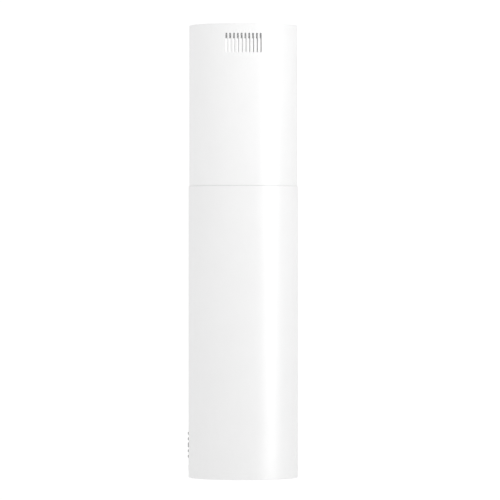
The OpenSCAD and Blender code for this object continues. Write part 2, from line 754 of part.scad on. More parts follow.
module carbon_cartridge() {
    web_x = ring_t + boss_x - lug_t - bayonet_play;
    holes = [40, 56, 72, 88];
    translate([motor_x1, 0, 0]) difference() {
        translate([carbon_x0, 0, 0]) along_x() cylinder(r = carbon_r, h = carbon_w);
        translate([carbon_x0 - eps, 0, 0]) along_x() cylinder(r = ring_r + 3, h = carbon_recess + eps);
        translate([web_x, 0, 0]) along_x() cylinder(r = boss_r + lug_w + 2 * bayonet_fit, h = carbon_w);
        translate([carbon_x0 - eps, 0, 0]) along_x() cylinder(r = boss_r + bayonet_fit, h = carbon_w);
        for (a = [0, 180]) rotate([carbon_twist + a, 0, 0]) translate([carbon_x0 - eps, 0, 0]) along_x()
            ring_sector(boss_r - 1, boss_r + lug_w + bayonet_fit, lug_angle + 8, carbon_w);
        for (k = [0:len(holes) - 1], a = [0:60:300]) if (holes[k] < carbon_r - 8)
            rotate([a + 30 * (k % 2), 0, 0]) translate([carbon_x0 + carbon_w - carbon_wall, holes[k], 0])
                along_x() cylinder(r = 5, h = carbon_wall + eps);
    }
}

module carbon_left() { color("black") fan_place() mirror([1, 0, 0]) carbon_cartridge(); }
module carbon_right() { color("black") fan_place() carbon_cartridge(); }

// ---------------------------------------------------------------- outlet

// Duct that brings the scroll's rectangular outlet to the round collar on the axis.
module outlet_duct() {
    low = fan_h + scroll_top;
    high = deck_h - pan_t;
    color("dimgray") lower_place() difference() {
        duct_body(low, high, scroll_t, 0);
        duct_body(low, high, 0, 1);
    }
}

module duct_body(low, high, grow, past) {
    hull() {
        translate([-scroll_half_w - grow, fan_y + outlet_y0 - grow, low - past])
            cube([2 * (scroll_half_w + grow), outlet_y1 - outlet_y0 + 2 * grow, 1]);
        translate([0, 0, high - 1 + past]) cylinder(r = collar_in - scroll_t + grow, h = 1, $fn = 48);
    }
}

module duct_collar() {
    color("dimgray") lower_place() translate([0, 0, deck_h]) {
        difference() {
            union() {
                cylinder(r = collar_flange_r, h = collar_flange_t);
                cylinder(r = collar_r, h = collar_flange_t + collar_h);
            }
            translate([0, 0, -eps]) cylinder(r = collar_in, h = collar_h + collar_flange_t + 2 * eps);
            translate([-flap_pin_half, 0, flap_z]) along_x() cylinder(r = flap_pin_r, h = 2 * flap_pin_half);
        }
        difference() {
            translate([0, 0, flap_z - flap_t / 2 - 3.3]) tube(collar_in + 0.5, collar_in - ledge_w, 3);
            translate([-collar_r, -knuckle_r - 0.6, flap_z - 6]) cube([2 * collar_r, 2 * (knuckle_r + 0.6), 6]);
        }
    }
}

module flap_pin() {
    color("silver") lower_place() translate([-flap_pin_half, 0, deck_h + flap_z])
        along_x() cylinder(r = flap_pin_r, h = 2 * flap_pin_half);
}

// A half-moon flap on the +Y side of the pin; its knuckles lie where middle says.
module flap(middle) {
    r = collar_in - flap_edge;
    spans = middle ? [[-knuckle_half, knuckle_half]]
                   : [[-knuckle_end, -knuckle_half - knuckle_gap], [knuckle_half + knuckle_gap, knuckle_end]];
    difference() {
        union() {
            intersection() {
                translate([0, 0, -flap_t / 2]) cylinder(r = r, h = flap_t);
                union() {
                    translate([-r, knuckle_r + 0.8, -flap_t]) cube([2 * r, r, 2 * flap_t]);
                    for (s = spans) translate([s[0], 0, -flap_t]) cube([s[1] - s[0], r, 2 * flap_t]);
                }
            }
            for (s = spans) translate([s[0], 0, 0]) along_x() cylinder(r = knuckle_r, h = s[1] - s[0]);
        }
        translate([-r, 0, 0]) along_x() cylinder(r = flap_pin_r + flap_fit, h = 2 * r);
    }
}

module flap_front() {
    color("dimgray") lower_place() translate([0, 0, deck_h + flap_z]) mirror([0, 1, 0]) flap(false);
}
module flap_back() { color("dimgray") lower_place() translate([0, 0, deck_h + flap_z]) flap(true); }

// ---------------------------------------------------------------- electronics

module box_place() { lower_place() translate([0, box_back - box_d, deck_h]) children(); }

module control_box() {
    color("gainsboro") box_place() difference() {
        translate([-box_w / 2, 0, 0]) cube([box_w, box_d, box_h]);
        translate([-box_w / 2 + box_t, -eps, box_t]) cube([box_w - 2 * box_t, box_d - box_t + eps, box_h - 2 * box_t]);
        translate([gland_x, box_d / 2, box_h - box_t - eps]) cylinder(r = 7, h = box_t + 2 * eps);
    }
}

module control_box_lid() {
    lid_t = 2;
    color("gainsboro") box_place() difference() {
        union() {
            translate([-box_w / 2, -lid_t, 0]) cube([box_w, lid_t, box_h]);
            for (x = [-1, 1]) translate([x * (box_w / 2 - box_t - 2.2) - 1, 0, box_t + 0.3])
                cube([2, 4, box_h - 2 * box_t - 0.6]);
        }
        for (p = [panel_port, motor_port])
            translate([p[0], eps, p[1] - deck_h]) along_front() cylinder(r = lead_port_r, h = lid_t + 2 * eps);
    }
}

module main_board() {
    board = [box_w - 2 * box_t - 8, 1.6, box_h - 2 * box_t - 8];
    face = box_d - box_t - 5.6;
    ways = 3;
    way = 8;
    color("darkgreen") box_place() {
        translate([-board[0] / 2, face, box_t + 4]) cube(board);
        translate([-48, face - 20, 14]) cube([34, 20, 26]);
        for (x = [-8, 8]) translate([x, face - 14, 12]) cube([12, 14, 18]);
        translate([-6, face, 52]) along_front() cylinder(r = 7, h = 16);
        translate([12, face, 52]) along_front() cylinder(r = 5, h = 12);
        translate([30, face - 14, 34]) difference() {
            cube([way * ways, 14, 12]);
            for (i = [0:ways - 1]) translate([way * (i + 0.5), -eps, 6]) rotate([-90, 0, 0]) cylinder(r = 2, h = 9);
        }
    }
}

module cable_gland() {
    color("dimgray") box_place() translate([gland_x, box_d / 2, box_h]) difference() {
        union() {
            translate([0, 0, -box_t - 5]) cylinder(r = 6.8, h = box_t + 5 + gland_h);
            cylinder(r = 10, h = 6, $fn = 6);
            translate([0, 0, 7]) cylinder(r = 9, h = gland_h - 7);
        }
        translate([0, 0, -box_t - 5 - eps]) cylinder(r = gland_bore_r, h = box_t + 5 + gland_h + 2 * eps);
    }
}

module led_driver() {
    color("white") lower_place() translate([driver_x - driver_w / 2, -box_back, deck_h]) {
        cube([driver_w, driver_d, driver_h]);
        for (x = [-8, driver_w]) translate([x, driver_d - 3, 0]) cube([8, 3, 12]);
    }
}

module run_capacitor() {
    color("lightgray") lower_place() translate([-130, -60, deck_h]) {
        cylinder(r = cap_r, h = cap_h);
        translate([0, 0, cap_h]) cylinder(r = cap_r - 3, h = 3);
        for (x = [-5, 5]) translate([x - 1.5, -0.4, cap_h + 3]) cube([3, 0.8, 8]);
    }
}

// ---------------------------------------------------------------- lamps

module at_lamps() { for (a = [0:90:270]) rotate([0, 0, a]) translate([lamp_at, 0, 0]) children(); }

module lamp_bodies() {
    color("silver") lower_place() at_lamps() difference() {
        union() {
            translate([0, 0, plate_z - bezel_t]) cylinder(r = lamp_r + bezel_w, h = bezel_t);
            translate([0, 0, plate_z]) cylinder(r = lamp_r, h = lamp_h);
        }
        translate([0, 0, plate_z - bezel_t - eps]) cylinder(r = lamp_r - 1.5, h = lens_t + eps);
        translate([0, 0, plate_z - bezel_t]) cylinder(r = lamp_r - 4, h = 8);
    }
}

module lamp_lenses() {
    color("lightyellow") lower_place() at_lamps()
        translate([0, 0, plate_z - bezel_t]) cylinder(r = lamp_r - 1.5, h = lens_t);
}

// ---------------------------------------------------------------- controls

module panel_carrier() {
    h = 2 * (outer_step + button_d / 2 + carrier_margin / 2);
    depth = board_y - carrier_y;
    color("dimgray") lower_place() difference() {
        translate([-carrier_w / 2, carrier_y, panel_z - h / 2]) cube([carrier_w, depth, h]);
        translate([-carrier_w / 2 + 2, carrier_y + carrier_t, panel_z - h / 2 + 2])
            cube([carrier_w - 4, depth, h - 4]);
        for (z = button_z) translate([0, carrier_y + carrier_t + eps, z])
            along_front() cylinder(d = button_d + 2 * bore_clear, h = carrier_t + 2 * eps);
        translate([0, carrier_y + carrier_t + eps, panel_z]) along_front()
            linear_extrude(height = carrier_t + 2 * eps)
                polygon(rounded_points(display_w + 2 * bore_clear, display_h + 2 * bore_clear, 2, 4));
    }
}

module panel_board() {
    h = 2 * (outer_step + button_d / 2 + carrier_margin / 2);
    color("darkgreen") lower_place() {
        translate([-carrier_w / 2, board_y, panel_z - h / 2]) cube([carrier_w, board_t, h]);
        for (z = button_z) translate([0, board_y, z]) difference() {
            translate([-switch_w / 2, -switch_h, -switch_w / 2]) cube([switch_w, switch_h, switch_w]);
            translate([0, switch_bore - switch_h, 0]) along_front()
                cylinder(r = plunger_r + 0.2, h = switch_bore + eps);
        }
        translate([-display_w / 2 + 2, board_y - display_back, panel_z - display_h / 2 + 1.5])
            cube([display_w - 4, display_back, display_h - 3]);
    }
}

module display_lens() {
    back = board_y - display_back;
    color("black") lower_place() translate([0, back, panel_z]) along_front()
        linear_extrude(height = lower_r + button_proud + back)
            polygon(rounded_points(display_w, display_h, 1.8, 4));
}

module button(i) {
    face = lower_r + button_proud;
    flange_y = carrier_y + carrier_t + 0.2;
    stem_end = board_y - switch_h + plunger_in;
    color("gray") lower_place() translate([0, 0, button_z[i]]) {
        rotate([90, 0, 0]) rotate_extrude() polygon([
            [0, -flange_y - flange_t], [button_d / 2, -flange_y - flange_t], [button_d / 2, face - 0.7],
            [button_d / 2 - 0.3, face - 0.2], [button_d / 2 - 1, face], [0, face]
        ]);
        translate([0, flange_y + flange_t, 0]) along_front() cylinder(d = button_d + 2.6, h = flange_t);
        translate([0, stem_end, 0]) along_front() cylinder(r = plunger_r, h = stem_end - flange_y - flange_t + 0.2);
    }
}

module badge_plate() {
    badge_t = 0.6;
    color("silver") lower_place() intersection() {
        translate([0, 0, badge_z - badge_h / 2]) tube(lower_r + badge_t, lower_r, badge_h);
        translate([0, -lower_r + 10, badge_z]) along_front() linear_extrude(height = 14)
            polygon(rounded_points(badge_w, badge_h, 3, 6));
    }
}

// ---------------------------------------------------------------- grease filter

module filter_frame() {
    outer = 2 * filter_half;
    opening = outer - 2 * frame_w;
    color("silver") lower_place() translate([0, 0, filter_z]) difference() {
        union() {
            difference() {
                translate([-filter_half, -filter_half, 0]) cube([outer, outer, filter_t]);
                translate([-opening / 2, -opening / 2, -eps]) cube([opening, opening, filter_t + 2 * eps]);
            }
            for (x = [-filter_half - pivot_len, filter_half - 1])
                translate([x, filter_half - pivot_in, pivot_in]) along_x() cylinder(r = pivot_r, h = pivot_len + 1);
        }
        translate([-opening / 2 - mesh_catch, -opening / 2 - mesh_catch, (filter_t - mesh_t) / 2])
            cube([opening + 2 * mesh_catch, opening + 2 * mesh_catch, mesh_t]);
        difference() {
            translate([-filter_half - eps, filter_half - pivot_in, -eps])
                cube([outer + 2 * eps, pivot_in + eps, pivot_in + eps]);
            translate([-filter_half - 1, filter_half - pivot_in, pivot_in])
                along_x() cylinder(r = pivot_in, h = outer + 2);
        }
        magnet_discs(magnet_h + eps);
    }
}

// The two magnets' places in the filter's front bar, facing the steel ledge above it.
module magnet_discs(h) {
    for (x = [-1, 1]) translate([x * filter_half / 2, -filter_half + frame_w / 2, filter_t - magnet_h])
        cylinder(r = magnet_r, h = h);
}

module filter_magnets() { color("dimgray") lower_place() translate([0, 0, filter_z]) magnet_discs(magnet_h); }

module filter_mesh() {
    w = 2 * (filter_half - frame_w + mesh_catch);
    color("lightgray") lower_place() translate([0, 0, filter_z + (filter_t - mesh_t) / 2]) difference() {
        translate([-w / 2, -w / 2, 0]) cube([w, w, mesh_t]);
        translate([-handle_w / 2, -w / 2 - eps, -eps]) cube([handle_w, handle_d + mesh_catch + eps, mesh_t + 2 * eps]);
    }
}

module filter_handle() {
    y0 = -filter_half + frame_w;
    color("dimgray") lower_place() translate([-handle_w / 2, y0, filter_z + 0.3]) difference() {
        cube([handle_w, handle_d, filter_t - 0.6]);
        translate([3, 3, -eps]) cube([handle_w - 6, handle_d - 6, filter_t - 2.6 + eps]);
    }
}

// ---------------------------------------------------------------- leads

module panel_lead() { color("gray") lower_place() swept_tube(smooth(panel_route), panel_lead_r); }
module motor_lead() { color("black") lower_place() swept_tube(smooth(motor_route), motor_lead_r); }
module lamp_lead() { color("white") lower_place() swept_tube(concat(smooth(lamp_drop, 2), lamp_ring), lamp_lead_r); }

// ---------------------------------------------------------------- the nodes

ceiling_plate();
upper_rail(-1, -1);  // upper_rail_front_left
upper_rail(1, -1);  // upper_rail_front_right
upper_rail(-1, 1);  // upper_rail_back_left
upper_rail(1, 1);  // upper_rail_back_right
frame_straps();
upper_casing();
casing_brackets();
casing_screws();
lower_casing();
seam_strip();
bottom_plate();
deck_plate();
lower_rail(-1, -1);  // lower_rail_front_left
lower_rail(1, -1);  // lower_rail_front_right
lower_rail(-1, 1);  // lower_rail_back_left
lower_rail(1, 1);  // lower_rail_back_right
clamp_screws();
scroll_left();
scroll_right();
blower_screws();
inlet_grille();
motor_bracket();
motor_case();
motor_cap();
stator();
motor_bearings();
run_capacitor();
outlet_duct();
duct_collar();
flap_pin();
flap_front();
flap_back();
control_box();
control_box_lid();
main_board();
cable_gland();
led_driver();
lamp_bodies();
lamp_lenses();
panel_carrier();
panel_board();
display_lens();
badge_plate();
panel_lead();
motor_lead();
lamp_lead();
carbon_left();
carbon_right();
impeller();
motor_shaft();
motor_rotor();
button(0);  // button_1
button(1);  // button_2
button(2);  // button_3
button(3);  // button_4
filter_frame();
filter_mesh();
filter_handle();
filter_magnets();
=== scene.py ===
"""Looks of a ceiling-hung cylinder hood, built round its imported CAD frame. Metres, +Z up, controls on -Y."""
import json
import math

import bmesh
import bpy
from mathutils import Matrix, Vector
from mathutils.geometry import delaunay_2d_cdt


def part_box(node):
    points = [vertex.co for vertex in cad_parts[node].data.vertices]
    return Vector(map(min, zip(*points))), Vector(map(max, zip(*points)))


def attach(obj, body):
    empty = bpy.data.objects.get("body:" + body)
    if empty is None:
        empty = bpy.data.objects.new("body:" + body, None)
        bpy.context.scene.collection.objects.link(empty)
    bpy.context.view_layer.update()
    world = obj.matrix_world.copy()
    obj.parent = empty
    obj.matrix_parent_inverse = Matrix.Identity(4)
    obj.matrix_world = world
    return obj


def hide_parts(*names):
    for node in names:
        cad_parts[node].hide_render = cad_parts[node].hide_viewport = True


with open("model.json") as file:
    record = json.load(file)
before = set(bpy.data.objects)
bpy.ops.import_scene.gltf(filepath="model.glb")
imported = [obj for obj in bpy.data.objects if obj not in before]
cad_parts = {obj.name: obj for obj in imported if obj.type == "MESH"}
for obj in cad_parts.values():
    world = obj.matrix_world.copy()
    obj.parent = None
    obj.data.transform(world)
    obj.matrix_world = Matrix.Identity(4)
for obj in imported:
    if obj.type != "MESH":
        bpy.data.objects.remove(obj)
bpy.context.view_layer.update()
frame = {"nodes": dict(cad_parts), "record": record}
nodes = frame["nodes"]
mm = 0.001

# ---------------------------------------------------------------- sizes read from the frame
lower_lo, lower_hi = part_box("lower_casing")
upper_lo, upper_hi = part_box("upper_casing")
plate_lo, plate_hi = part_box("bottom_plate")
rim_z = lower_lo.z
seam_z = lower_hi.z
lower_r = (lower_hi.x - lower_lo.x) / 2
upper_r = (upper_hi.x - upper_lo.x) / 2
sheet = 1 * mm
lip = 4 * mm
slot_count, slot_w, slot_h = 10, 6.5 * mm, 69.2 * mm
slot_pitch, slot_top = 13.4 * mm, -35.3 * mm
button_names = ("button_1", "button_2", "button_3", "button_4")
button_r = 4.9 * mm
lamp_r = 22.2 * mm
four_ways = ((1, 0), (0, 1), (-1, 0), (0, -1))


# ---------------------------------------------------------------- camera and light
def look_from(azimuth, distance, view_width, aside, height):
    """A level camera at an azimuth, 90 looking along -X, with the hood's axis 'aside' left of the centre."""
    a = math.radians(azimuth)
    back = Vector((math.sin(a), -math.cos(a), 0))
    right = Vector((math.cos(a), math.sin(a), 0))
    data = bpy.data.cameras.new("camera")
    data.sensor_width = 36
    data.lens = data.sensor_width * distance / view_width
    data.clip_end = 100
    camera = bpy.data.objects.new("camera", data)
    camera.location = back * distance + right * aside + Vector((0, 0, height))
    camera.rotation_mode = "QUATERNION"
    camera.rotation_quaternion = (-back).to_track_quat("-Z", "Y")
    bpy.context.scene.collection.objects.link(camera)
    bpy.context.scene.camera = camera


def area_light(name, azimuth, distance, height, size, power, aim_z, shine=True, fill=True):
    """A soft box aimed at the hood; shine and fill say whether it adds gloss and diffuse light."""
    a = math.radians(azimuth)
    data = bpy.data.lights.new(name, "AREA")
    data.shape = "RECTANGLE"
    data.size, data.size_y = size
    data.energy = power
    light = bpy.data.objects.new(name, data)
    light.location = (math.sin(a) * distance, -math.cos(a) * distance, height)
    aim = Vector((0, 0, aim_z)) - light.location
    light.rotation_mode = "QUATERNION"
    light.rotation_quaternion = aim.to_track_quat("-Z", "Y")
    light.visible_glossy, light.visible_diffuse, light.visible_camera = shine, fill, False
    bpy.context.scene.collection.objects.link(light)


def studio():
    """A white surround, dimmer as light than as seen, and a pale floor well below the hood."""
    scene = bpy.context.scene
    scene.view_settings.view_transform = "Standard"
    world = bpy.data.worlds.new("studio")
    world.use_nodes = True
    scene.world = world
    tree = world.node_tree
    tree.nodes.clear()
    new, link = tree.nodes.new, tree.links.new
    seen, lit = new("ShaderNodeBackground"), new("ShaderNodeBackground")
    for background in (seen, lit):
        background.inputs["Color"].default_value = (1, 1, 1, 1)
    seen.inputs["Strength"].default_value = 1.05
    mix, way = new("ShaderNodeMixShader"), new("ShaderNodeSeparateXYZ")
    link(new("ShaderNodeTexCoord").outputs["Generated"], way.inputs[0])
    level = new("ShaderNodeMath")
    level.operation = "MULTIPLY"
    overhead, behind = ("Z", 0.1, 0.9, 1.11, 0.52), ("X", -1, 0, 0.8, 1)
    for k, (axis, *limits) in enumerate((overhead, behind)):
        dimmer = new("ShaderNodeMapRange")
        for key, number in zip(("From Min", "From Max", "To Min", "To Max"), limits):
            dimmer.inputs[key].default_value = number
        link(way.outputs[axis], dimmer.inputs["Value"])
        link(dimmer.outputs[0], level.inputs[k])
    link(level.outputs[0], lit.inputs["Strength"])
    link(new("ShaderNodeLightPath").outputs["Is Camera Ray"], mix.inputs["Fac"])
    link(lit.outputs[0], mix.inputs[1])
    link(seen.outputs[0], mix.inputs[2])
    link(mix.outputs[0], new("ShaderNodeOutputWorld").inputs[0])

    floor_r, floor_drop = 6, 1.6
    bm = bmesh.new()
    bmesh.ops.create_circle(bm, cap_ends=True, radius=floor_r, segments=96)
    floor = bpy.data.objects.new("floor", bpy.data.meshes.new("floor"))
    bm.to_mesh(floor.data)
    bm.free()
    floor.location = (0, 0, rim_z - floor_drop)
    bpy.context.scene.collection.objects.link(floor)
    n = Nodes("floor", roughness=0.6)
    n.colour(n.ramp(n.noise(1.5), [(0.3, (0.9, 0.9, 0.9)), (0.7, (0.92, 0.92, 0.92))]))
    n.fade(floor_r)
    floor.data.materials.append(n.material)


# ---------------------------------------------------------------- materials
class Nodes:
    """A material's node tree, with one call for each kind of node used here."""

    def __init__(self, name, roughness=0.5, metallic=0.0, **sockets):
        self.material = bpy.data.materials.new(name)
        self.material.use_nodes = True
        self.tree = self.material.node_tree
        self.shader = self.tree.nodes["Principled BSDF"]
        self.shader.inputs["Roughness"].default_value = roughness
        self.shader.inputs["Metallic"].default_value = metallic
        for key, value in sockets.items():
            self.shader.inputs[key.replace("_", " ")].default_value = value
        self.place = self.tree.nodes.new("ShaderNodeTexCoord").outputs["Object"]
        self.normal = None

    def link(self, a, b):
        self.tree.links.new(a, b)

    def stretched(self, scale):
        node = self.tree.nodes.new("ShaderNodeMapping")
        node.inputs["Scale"].default_value = scale
        self.link(self.place, node.inputs["Vector"])
        return node.outputs[0]

    def noise(self, scale, detail=3.0, rough=0.5, at=None):
        node = self.tree.nodes.new("ShaderNodeTexNoise")
        node.inputs["Scale"].default_value = scale
        node.inputs["Detail"].default_value = detail
        node.inputs["Roughness"].default_value = rough
        self.link(at or self.place, node.inputs["Vector"])
        return node.outputs["Fac"]

    def cells(self, scale, feature="F1", output="Distance", at=None):
        node = self.tree.nodes.new("ShaderNodeTexVoronoi")
        node.feature = feature
        node.inputs["Scale"].default_value = scale
        self.link(at or self.place, node.inputs["Vector"])
        return node.outputs[output]

    def warped(self, scale, amount):
        """The object's coordinates, shifted by a noise."""
        noise = self.tree.nodes.new("ShaderNodeTexNoise")
        noise.inputs["Scale"].default_value = scale
        shift = self.tree.nodes.new("ShaderNodeVectorMath")
        shift.operation = "MULTIPLY_ADD"
        shift.inputs[1].default_value = (amount, amount, amount)
        self.link(self.place, noise.inputs["Vector"])
        self.link(noise.outputs["Color"], shift.inputs[0])
        self.link(self.place, shift.inputs[2])
        return shift.outputs[0]

    def ramp(self, value, stops):
        node = self.tree.nodes.new("ShaderNodeValToRGB")
        ramp = node.color_ramp
        for k, (place, colour) in enumerate(stops):
            stop = ramp.elements[k] if k < 2 else ramp.elements.new(place)
            stop.position = place
            stop.color = (*colour, 1)
        self.link(value, node.inputs["Fac"])
        return node.outputs["Color"]

    def between(self, value, low, high, out_low, out_high):
        node = self.tree.nodes.new("ShaderNodeMapRange")
        for key, number in zip(("From Min", "From Max", "To Min", "To Max"), (low, high, out_low, out_high)):
            node.inputs[key].default_value = number
        self.link(value, node.inputs["Value"])
        return node.outputs["Result"]

    def colour(self, socket):
        self.link(socket, self.shader.inputs["Base Color"])

    def roughness(self, socket):
        self.link(socket, self.shader.inputs["Roughness"])

    def fade(self, radius):
        """Lets the surface vanish towards a radius, and wherever its underside is seen."""
        tree = self.tree
        distance = tree.nodes.new("ShaderNodeVectorMath")
        distance.operation = "LENGTH"
        self.link(self.place, distance.inputs[0])
        far = self.between(distance.outputs["Value"], radius * 0.2, radius * 0.95, 0, 1)
        under = tree.nodes.new("ShaderNodeMath")
        under.operation = "MAXIMUM"
        self.link(far, under.inputs[0])
        self.link(tree.nodes.new("ShaderNodeNewGeometry").outputs["Backfacing"], under.inputs[1])
        mix, clear = tree.nodes.new("ShaderNodeMixShader"), tree.nodes.new("ShaderNodeBsdfTransparent")
        self.link(under.outputs[0], mix.inputs["Fac"])
        self.link(self.shader.outputs[0], mix.inputs[1])
        self.link(clear.outputs[0], mix.inputs[2])
        self.link(mix.outputs[0], tree.nodes["Material Output"].inputs["Surface"])

    def bump(self, height, depth, strength=1.0):
        """Adds relief; depth is in metres."""
        node = self.tree.nodes.new("ShaderNodeBump")
        node.inputs["Strength"].default_value = strength
        node.inputs["Distance"].default_value = depth
        self.link(height, node.inputs["Height"])
        if self.normal is not None:
            self.link(self.normal, node.inputs["Normal"])
        self.normal = node.outputs["Normal"]
        self.link(self.normal, self.shader.inputs["Normal"])


def tint(colour, low, high):
    """Two shades of a colour, for a ramp."""
    return tuple(c * low for c in colour), tuple(c * high for c in colour)


def powder_coat(name, colour):
    """White powder coat: a fine orange peel, and gloss that varies a little."""
    n = Nodes(name, Specular_IOR_Level=0.5)
    dull, clean = tint(colour, 0.985, 1.0)
    n.colour(n.ramp(n.noise(9, 4, 0.6), [(0.3, dull), (0.7, clean)]))
    n.roughness(n.between(n.noise(35, 4), 0.3, 0.7, 0.33, 0.41))
    n.bump(n.noise(620, 2, 0.4), 0.00003, 0.35)
    return n.material


def zinc_sheet(name, colour):
    """Galvanised sheet: spangles of slightly different grey, with rolling marks."""
    n = Nodes(name, metallic=0.9)
    low, high = tint(colour, 0.9, 1.06)
    warped = n.warped(7, 0.012)
    n.colour(n.ramp(n.cells(130, output="Color", at=warped), [(0.2, low), (0.8, high)]))
    n.roughness(n.between(n.cells(130, output="Color", at=warped), 0.0, 1.0, 0.42, 0.52))
    n.bump(n.noise(260, 3, at=n.stretched((1, 1, 0.12))), 0.00005, 0.4)
    return n.material


def cast_metal(name, colour, roughness=0.5):
    """Cast or pressed metal, matt and lightly mottled."""
    n = Nodes(name, metallic=0.85)
    low, high = tint(colour, 0.85, 1.05)
    n.colour(n.ramp(n.noise(60, 5, 0.6), [(0.3, low), (0.7, high)]))
    n.roughness(n.between(n.noise(180, 3), 0.3, 0.7, roughness - 0.08, roughness + 0.1))
    n.bump(n.noise(900, 3, 0.6), 0.00012, 0.5)
    return n.material


def brushed(name, colour, roughness, along=(1, 1, 0.04), contrast=0.12, scale=900):
    """Metal brushed along one axis."""
    n = Nodes(name, metallic=1.0)
    streak = n.noise(scale, 4, 0.7, at=n.stretched(along))
    low, high = tint(colour, 1 - contrast, 1.06)
    n.colour(n.ramp(streak, [(0.3, low), (0.7, high)]))
    n.roughness(n.between(streak, 0.3, 0.7, roughness - 0.07, roughness + 0.07))
    n.bump(streak, 0.00002, 0.4)
    return n.material


def moulded(name, colour, roughness, grain=1500, depth=0.00006):
    """Moulded plastic with a fine spark-eroded grain."""
    n = Nodes(name)
    low, high = tint(colour, 0.86, 1.12)
    n.colour(n.ramp(n.noise(45, 4, 0.6), [(0.3, low), (0.7, high)]))
    n.roughness(n.between(n.noise(140, 3), 0.3, 0.7, roughness - 0.06, roughness + 0.06))
    n.bump(n.noise(grain, 2, 0.5), depth, 0.6)
    return n.material


def winding(name, colour):
    """Enamelled copper wire, wound in fine turns round the shaft's axis."""
    n = Nodes(name, metallic=0.8)
    low, high = tint(colour, 0.55, 1.2)
    turns = n.noise(1400, 2, at=n.stretched((0.05, 1, 1)))
    n.colour(n.ramp(turns, [(0.35, low), (0.65, high)]))
    n.roughness(n.between(turns, 0.3, 0.7, 0.28, 0.45))
    n.bump(turns, 0.0003, 0.8)
    return n.material


def granules(name, colour):
    """Carbon granules behind a moulded grid."""
    n = Nodes(name, roughness=0.7)
    grain = n.cells(330)
    low, high = tint(colour, 0.5, 2.2)
    # Lighter in each granule's middle and darker towards its rim: painted shade in the gaps between granules.
    n.colour(n.ramp(grain, [(0.1, high), (0.7, low)]))
    n.roughness(n.between(grain, 0.0, 0.8, 0.55, 0.8))
    n.bump(grain, 0.0006, 0.5)
    return n.material


def circuit(name, colour):
    """A circuit board's lacquer over its tracks."""
    n = Nodes(name, roughness=0.35)
    low, high = tint(colour, 0.6, 1.5)
    tracks = n.cells(260, feature="DISTANCE_TO_EDGE")
    n.colour(n.ramp(tracks, [(0.04, high), (0.09, low)]))
    n.roughness(n.between(tracks, 0.0, 0.1, 0.25, 0.42))
    n.bump(tracks, 0.00008, 0.5)
    return n.material


def felt(name, colour):
    """Pressed fibres with a soft sheen."""
    n = Nodes(name, roughness=0.95, Sheen_Weight=0.4)
    low, high = tint(colour, 0.7, 1.3)
    fibre = n.noise(1100, 5, 0.8)
    n.colour(n.ramp(fibre, [(0.3, low), (0.7, high)]))
    n.bump(fibre, 0.0004, 0.8)
    return n.material


def tinted_window(name, colour):
    """A dark glossy window."""
    n = Nodes(name, roughness=0.08, Coat_Weight=0.6, Coat_Roughness=0.03)
    low, high = tint(colour, 0.8, 1.2)
    n.colour(n.ramp(n.noise(120, 3), [(0.3, low), (0.7, high)]))
    n.roughness(n.between(n.noise(400, 4), 0.4, 0.8, 0.06, 0.14))
    return n.material


def frosted(name, colour):
    """A lamp's diffuser: pale, soft, a little translucent."""
    n = Nodes(name, roughness=0.4, Subsurface_Weight=0.4, Subsurface_Radius=(0.004, 0.004, 0.004))
    low, high = tint(colour, 0.92, 1.0)
    n.colour(n.ramp(n.noise(90, 3), [(0.3, low), (0.7, high)]))
    n.roughness(n.between(n.noise(500, 3), 0.3, 0.7, 0.3, 0.45))
    n.bump(n.cells(900), 0.0001, 0.4)
    return n.material


def rubber(name, colour):
    """Matt flexible sleeving."""
    n = Nodes(name, roughness=0.6)
    low, high = tint(colour, 0.85, 1.1)
    n.colour(n.ramp(n.noise(160, 4), [(0.3, low), (0.7, high)]))
    n.roughness(n.between(n.noise(300, 3), 0.3, 0.7, 0.5, 0.68))
    n.bump(n.noise(1600, 2), 0.00005, 0.5)
    return n.material


def slot_materials():
    """One material for each of the record's slots, from its own colour."""
    colours = {m["slot"]: tuple(m["base_color"][:3]) for m in frame["record"]["materials"]}
    colours["white_steel"] = (0.9, 0.9, 0.9)
    makers = {
        "white_steel": powder_coat,
        "galvanised_steel": zinc_sheet,
        "zinc_fasteners": lambda n, c: brushed(n, c, 0.34),
        "fan_plastic": lambda n, c: moulded(n, c, 0.5),
        "motor_grey": cast_metal,
        "bright_steel": lambda n, c: brushed(n, c, 0.22, (0.04, 1, 1)),
        "copper_winding": winding,
        "carbon_cassette": granules,
        "circuit_board": circuit,
        "white_plastic": lambda n, c: moulded(n, c, 0.35, 900, 0.00002),
        "can_aluminium": lambda n, c: brushed(n, c, 0.3, (1, 1, 0.06)),
        "gland_plastic": lambda n, c: moulded(n, c, 0.45),
        "carrier_plastic": lambda n, c: moulded(n, c, 0.5),
        # The button metal's colour is halved: painted shade for the shaded sides of the buttons, which also
        # darkens the display bezel.
        "button_metal": lambda n, c: brushed(n, tint(c, 0.5, 1)[0], 0.32, (0.1, 1, 1)),
        "display_window": tinted_window,
        "badge_metal": lambda n, c: brushed(n, c, 0.3, (0.05, 1, 1)),
        "lamp_metal": lambda n, c: brushed(n, c, 0.26, (1, 1, 0.5), 0.04, 3000),
        "lamp_glass": frosted,
        "filter_aluminium": lambda n, c: brushed(n, c, 0.36, (0.06, 1, 1)),
        "filter_mesh_metal": lambda n, c: brushed(n, c, 0.33, (1, 0.3, 1)),
        "handle_plastic": lambda n, c: moulded(n, c, 0.45),
        "magnet_black": cast_metal,
        "seal_felt": felt,
        "lead_grey": rubber,
        "lead_black": rubber,
        "lead_white": rubber,
    }
    return {slot: makers[slot](slot, colour) for slot, colour in colours.items()}


# ---------------------------------------------------------------- mesh helpers
def make_object(name, verts, faces, smooth=True, normals=None):
    """A mesh object. normals gives each face's corner normals, or None to shade by angle."""
    mesh = bpy.data.meshes.new(name)
    mesh.from_pydata([tuple(v) for v in verts], [], faces)
    obj = bpy.data.objects.new(name, mesh)
    bpy.context.scene.collection.objects.link(obj)
    if smooth:
        sharpen(obj, 30)
        if normals is not None:
            mesh.normals_split_custom_set([tuple(n) for corner in normals for n in corner])
    return obj


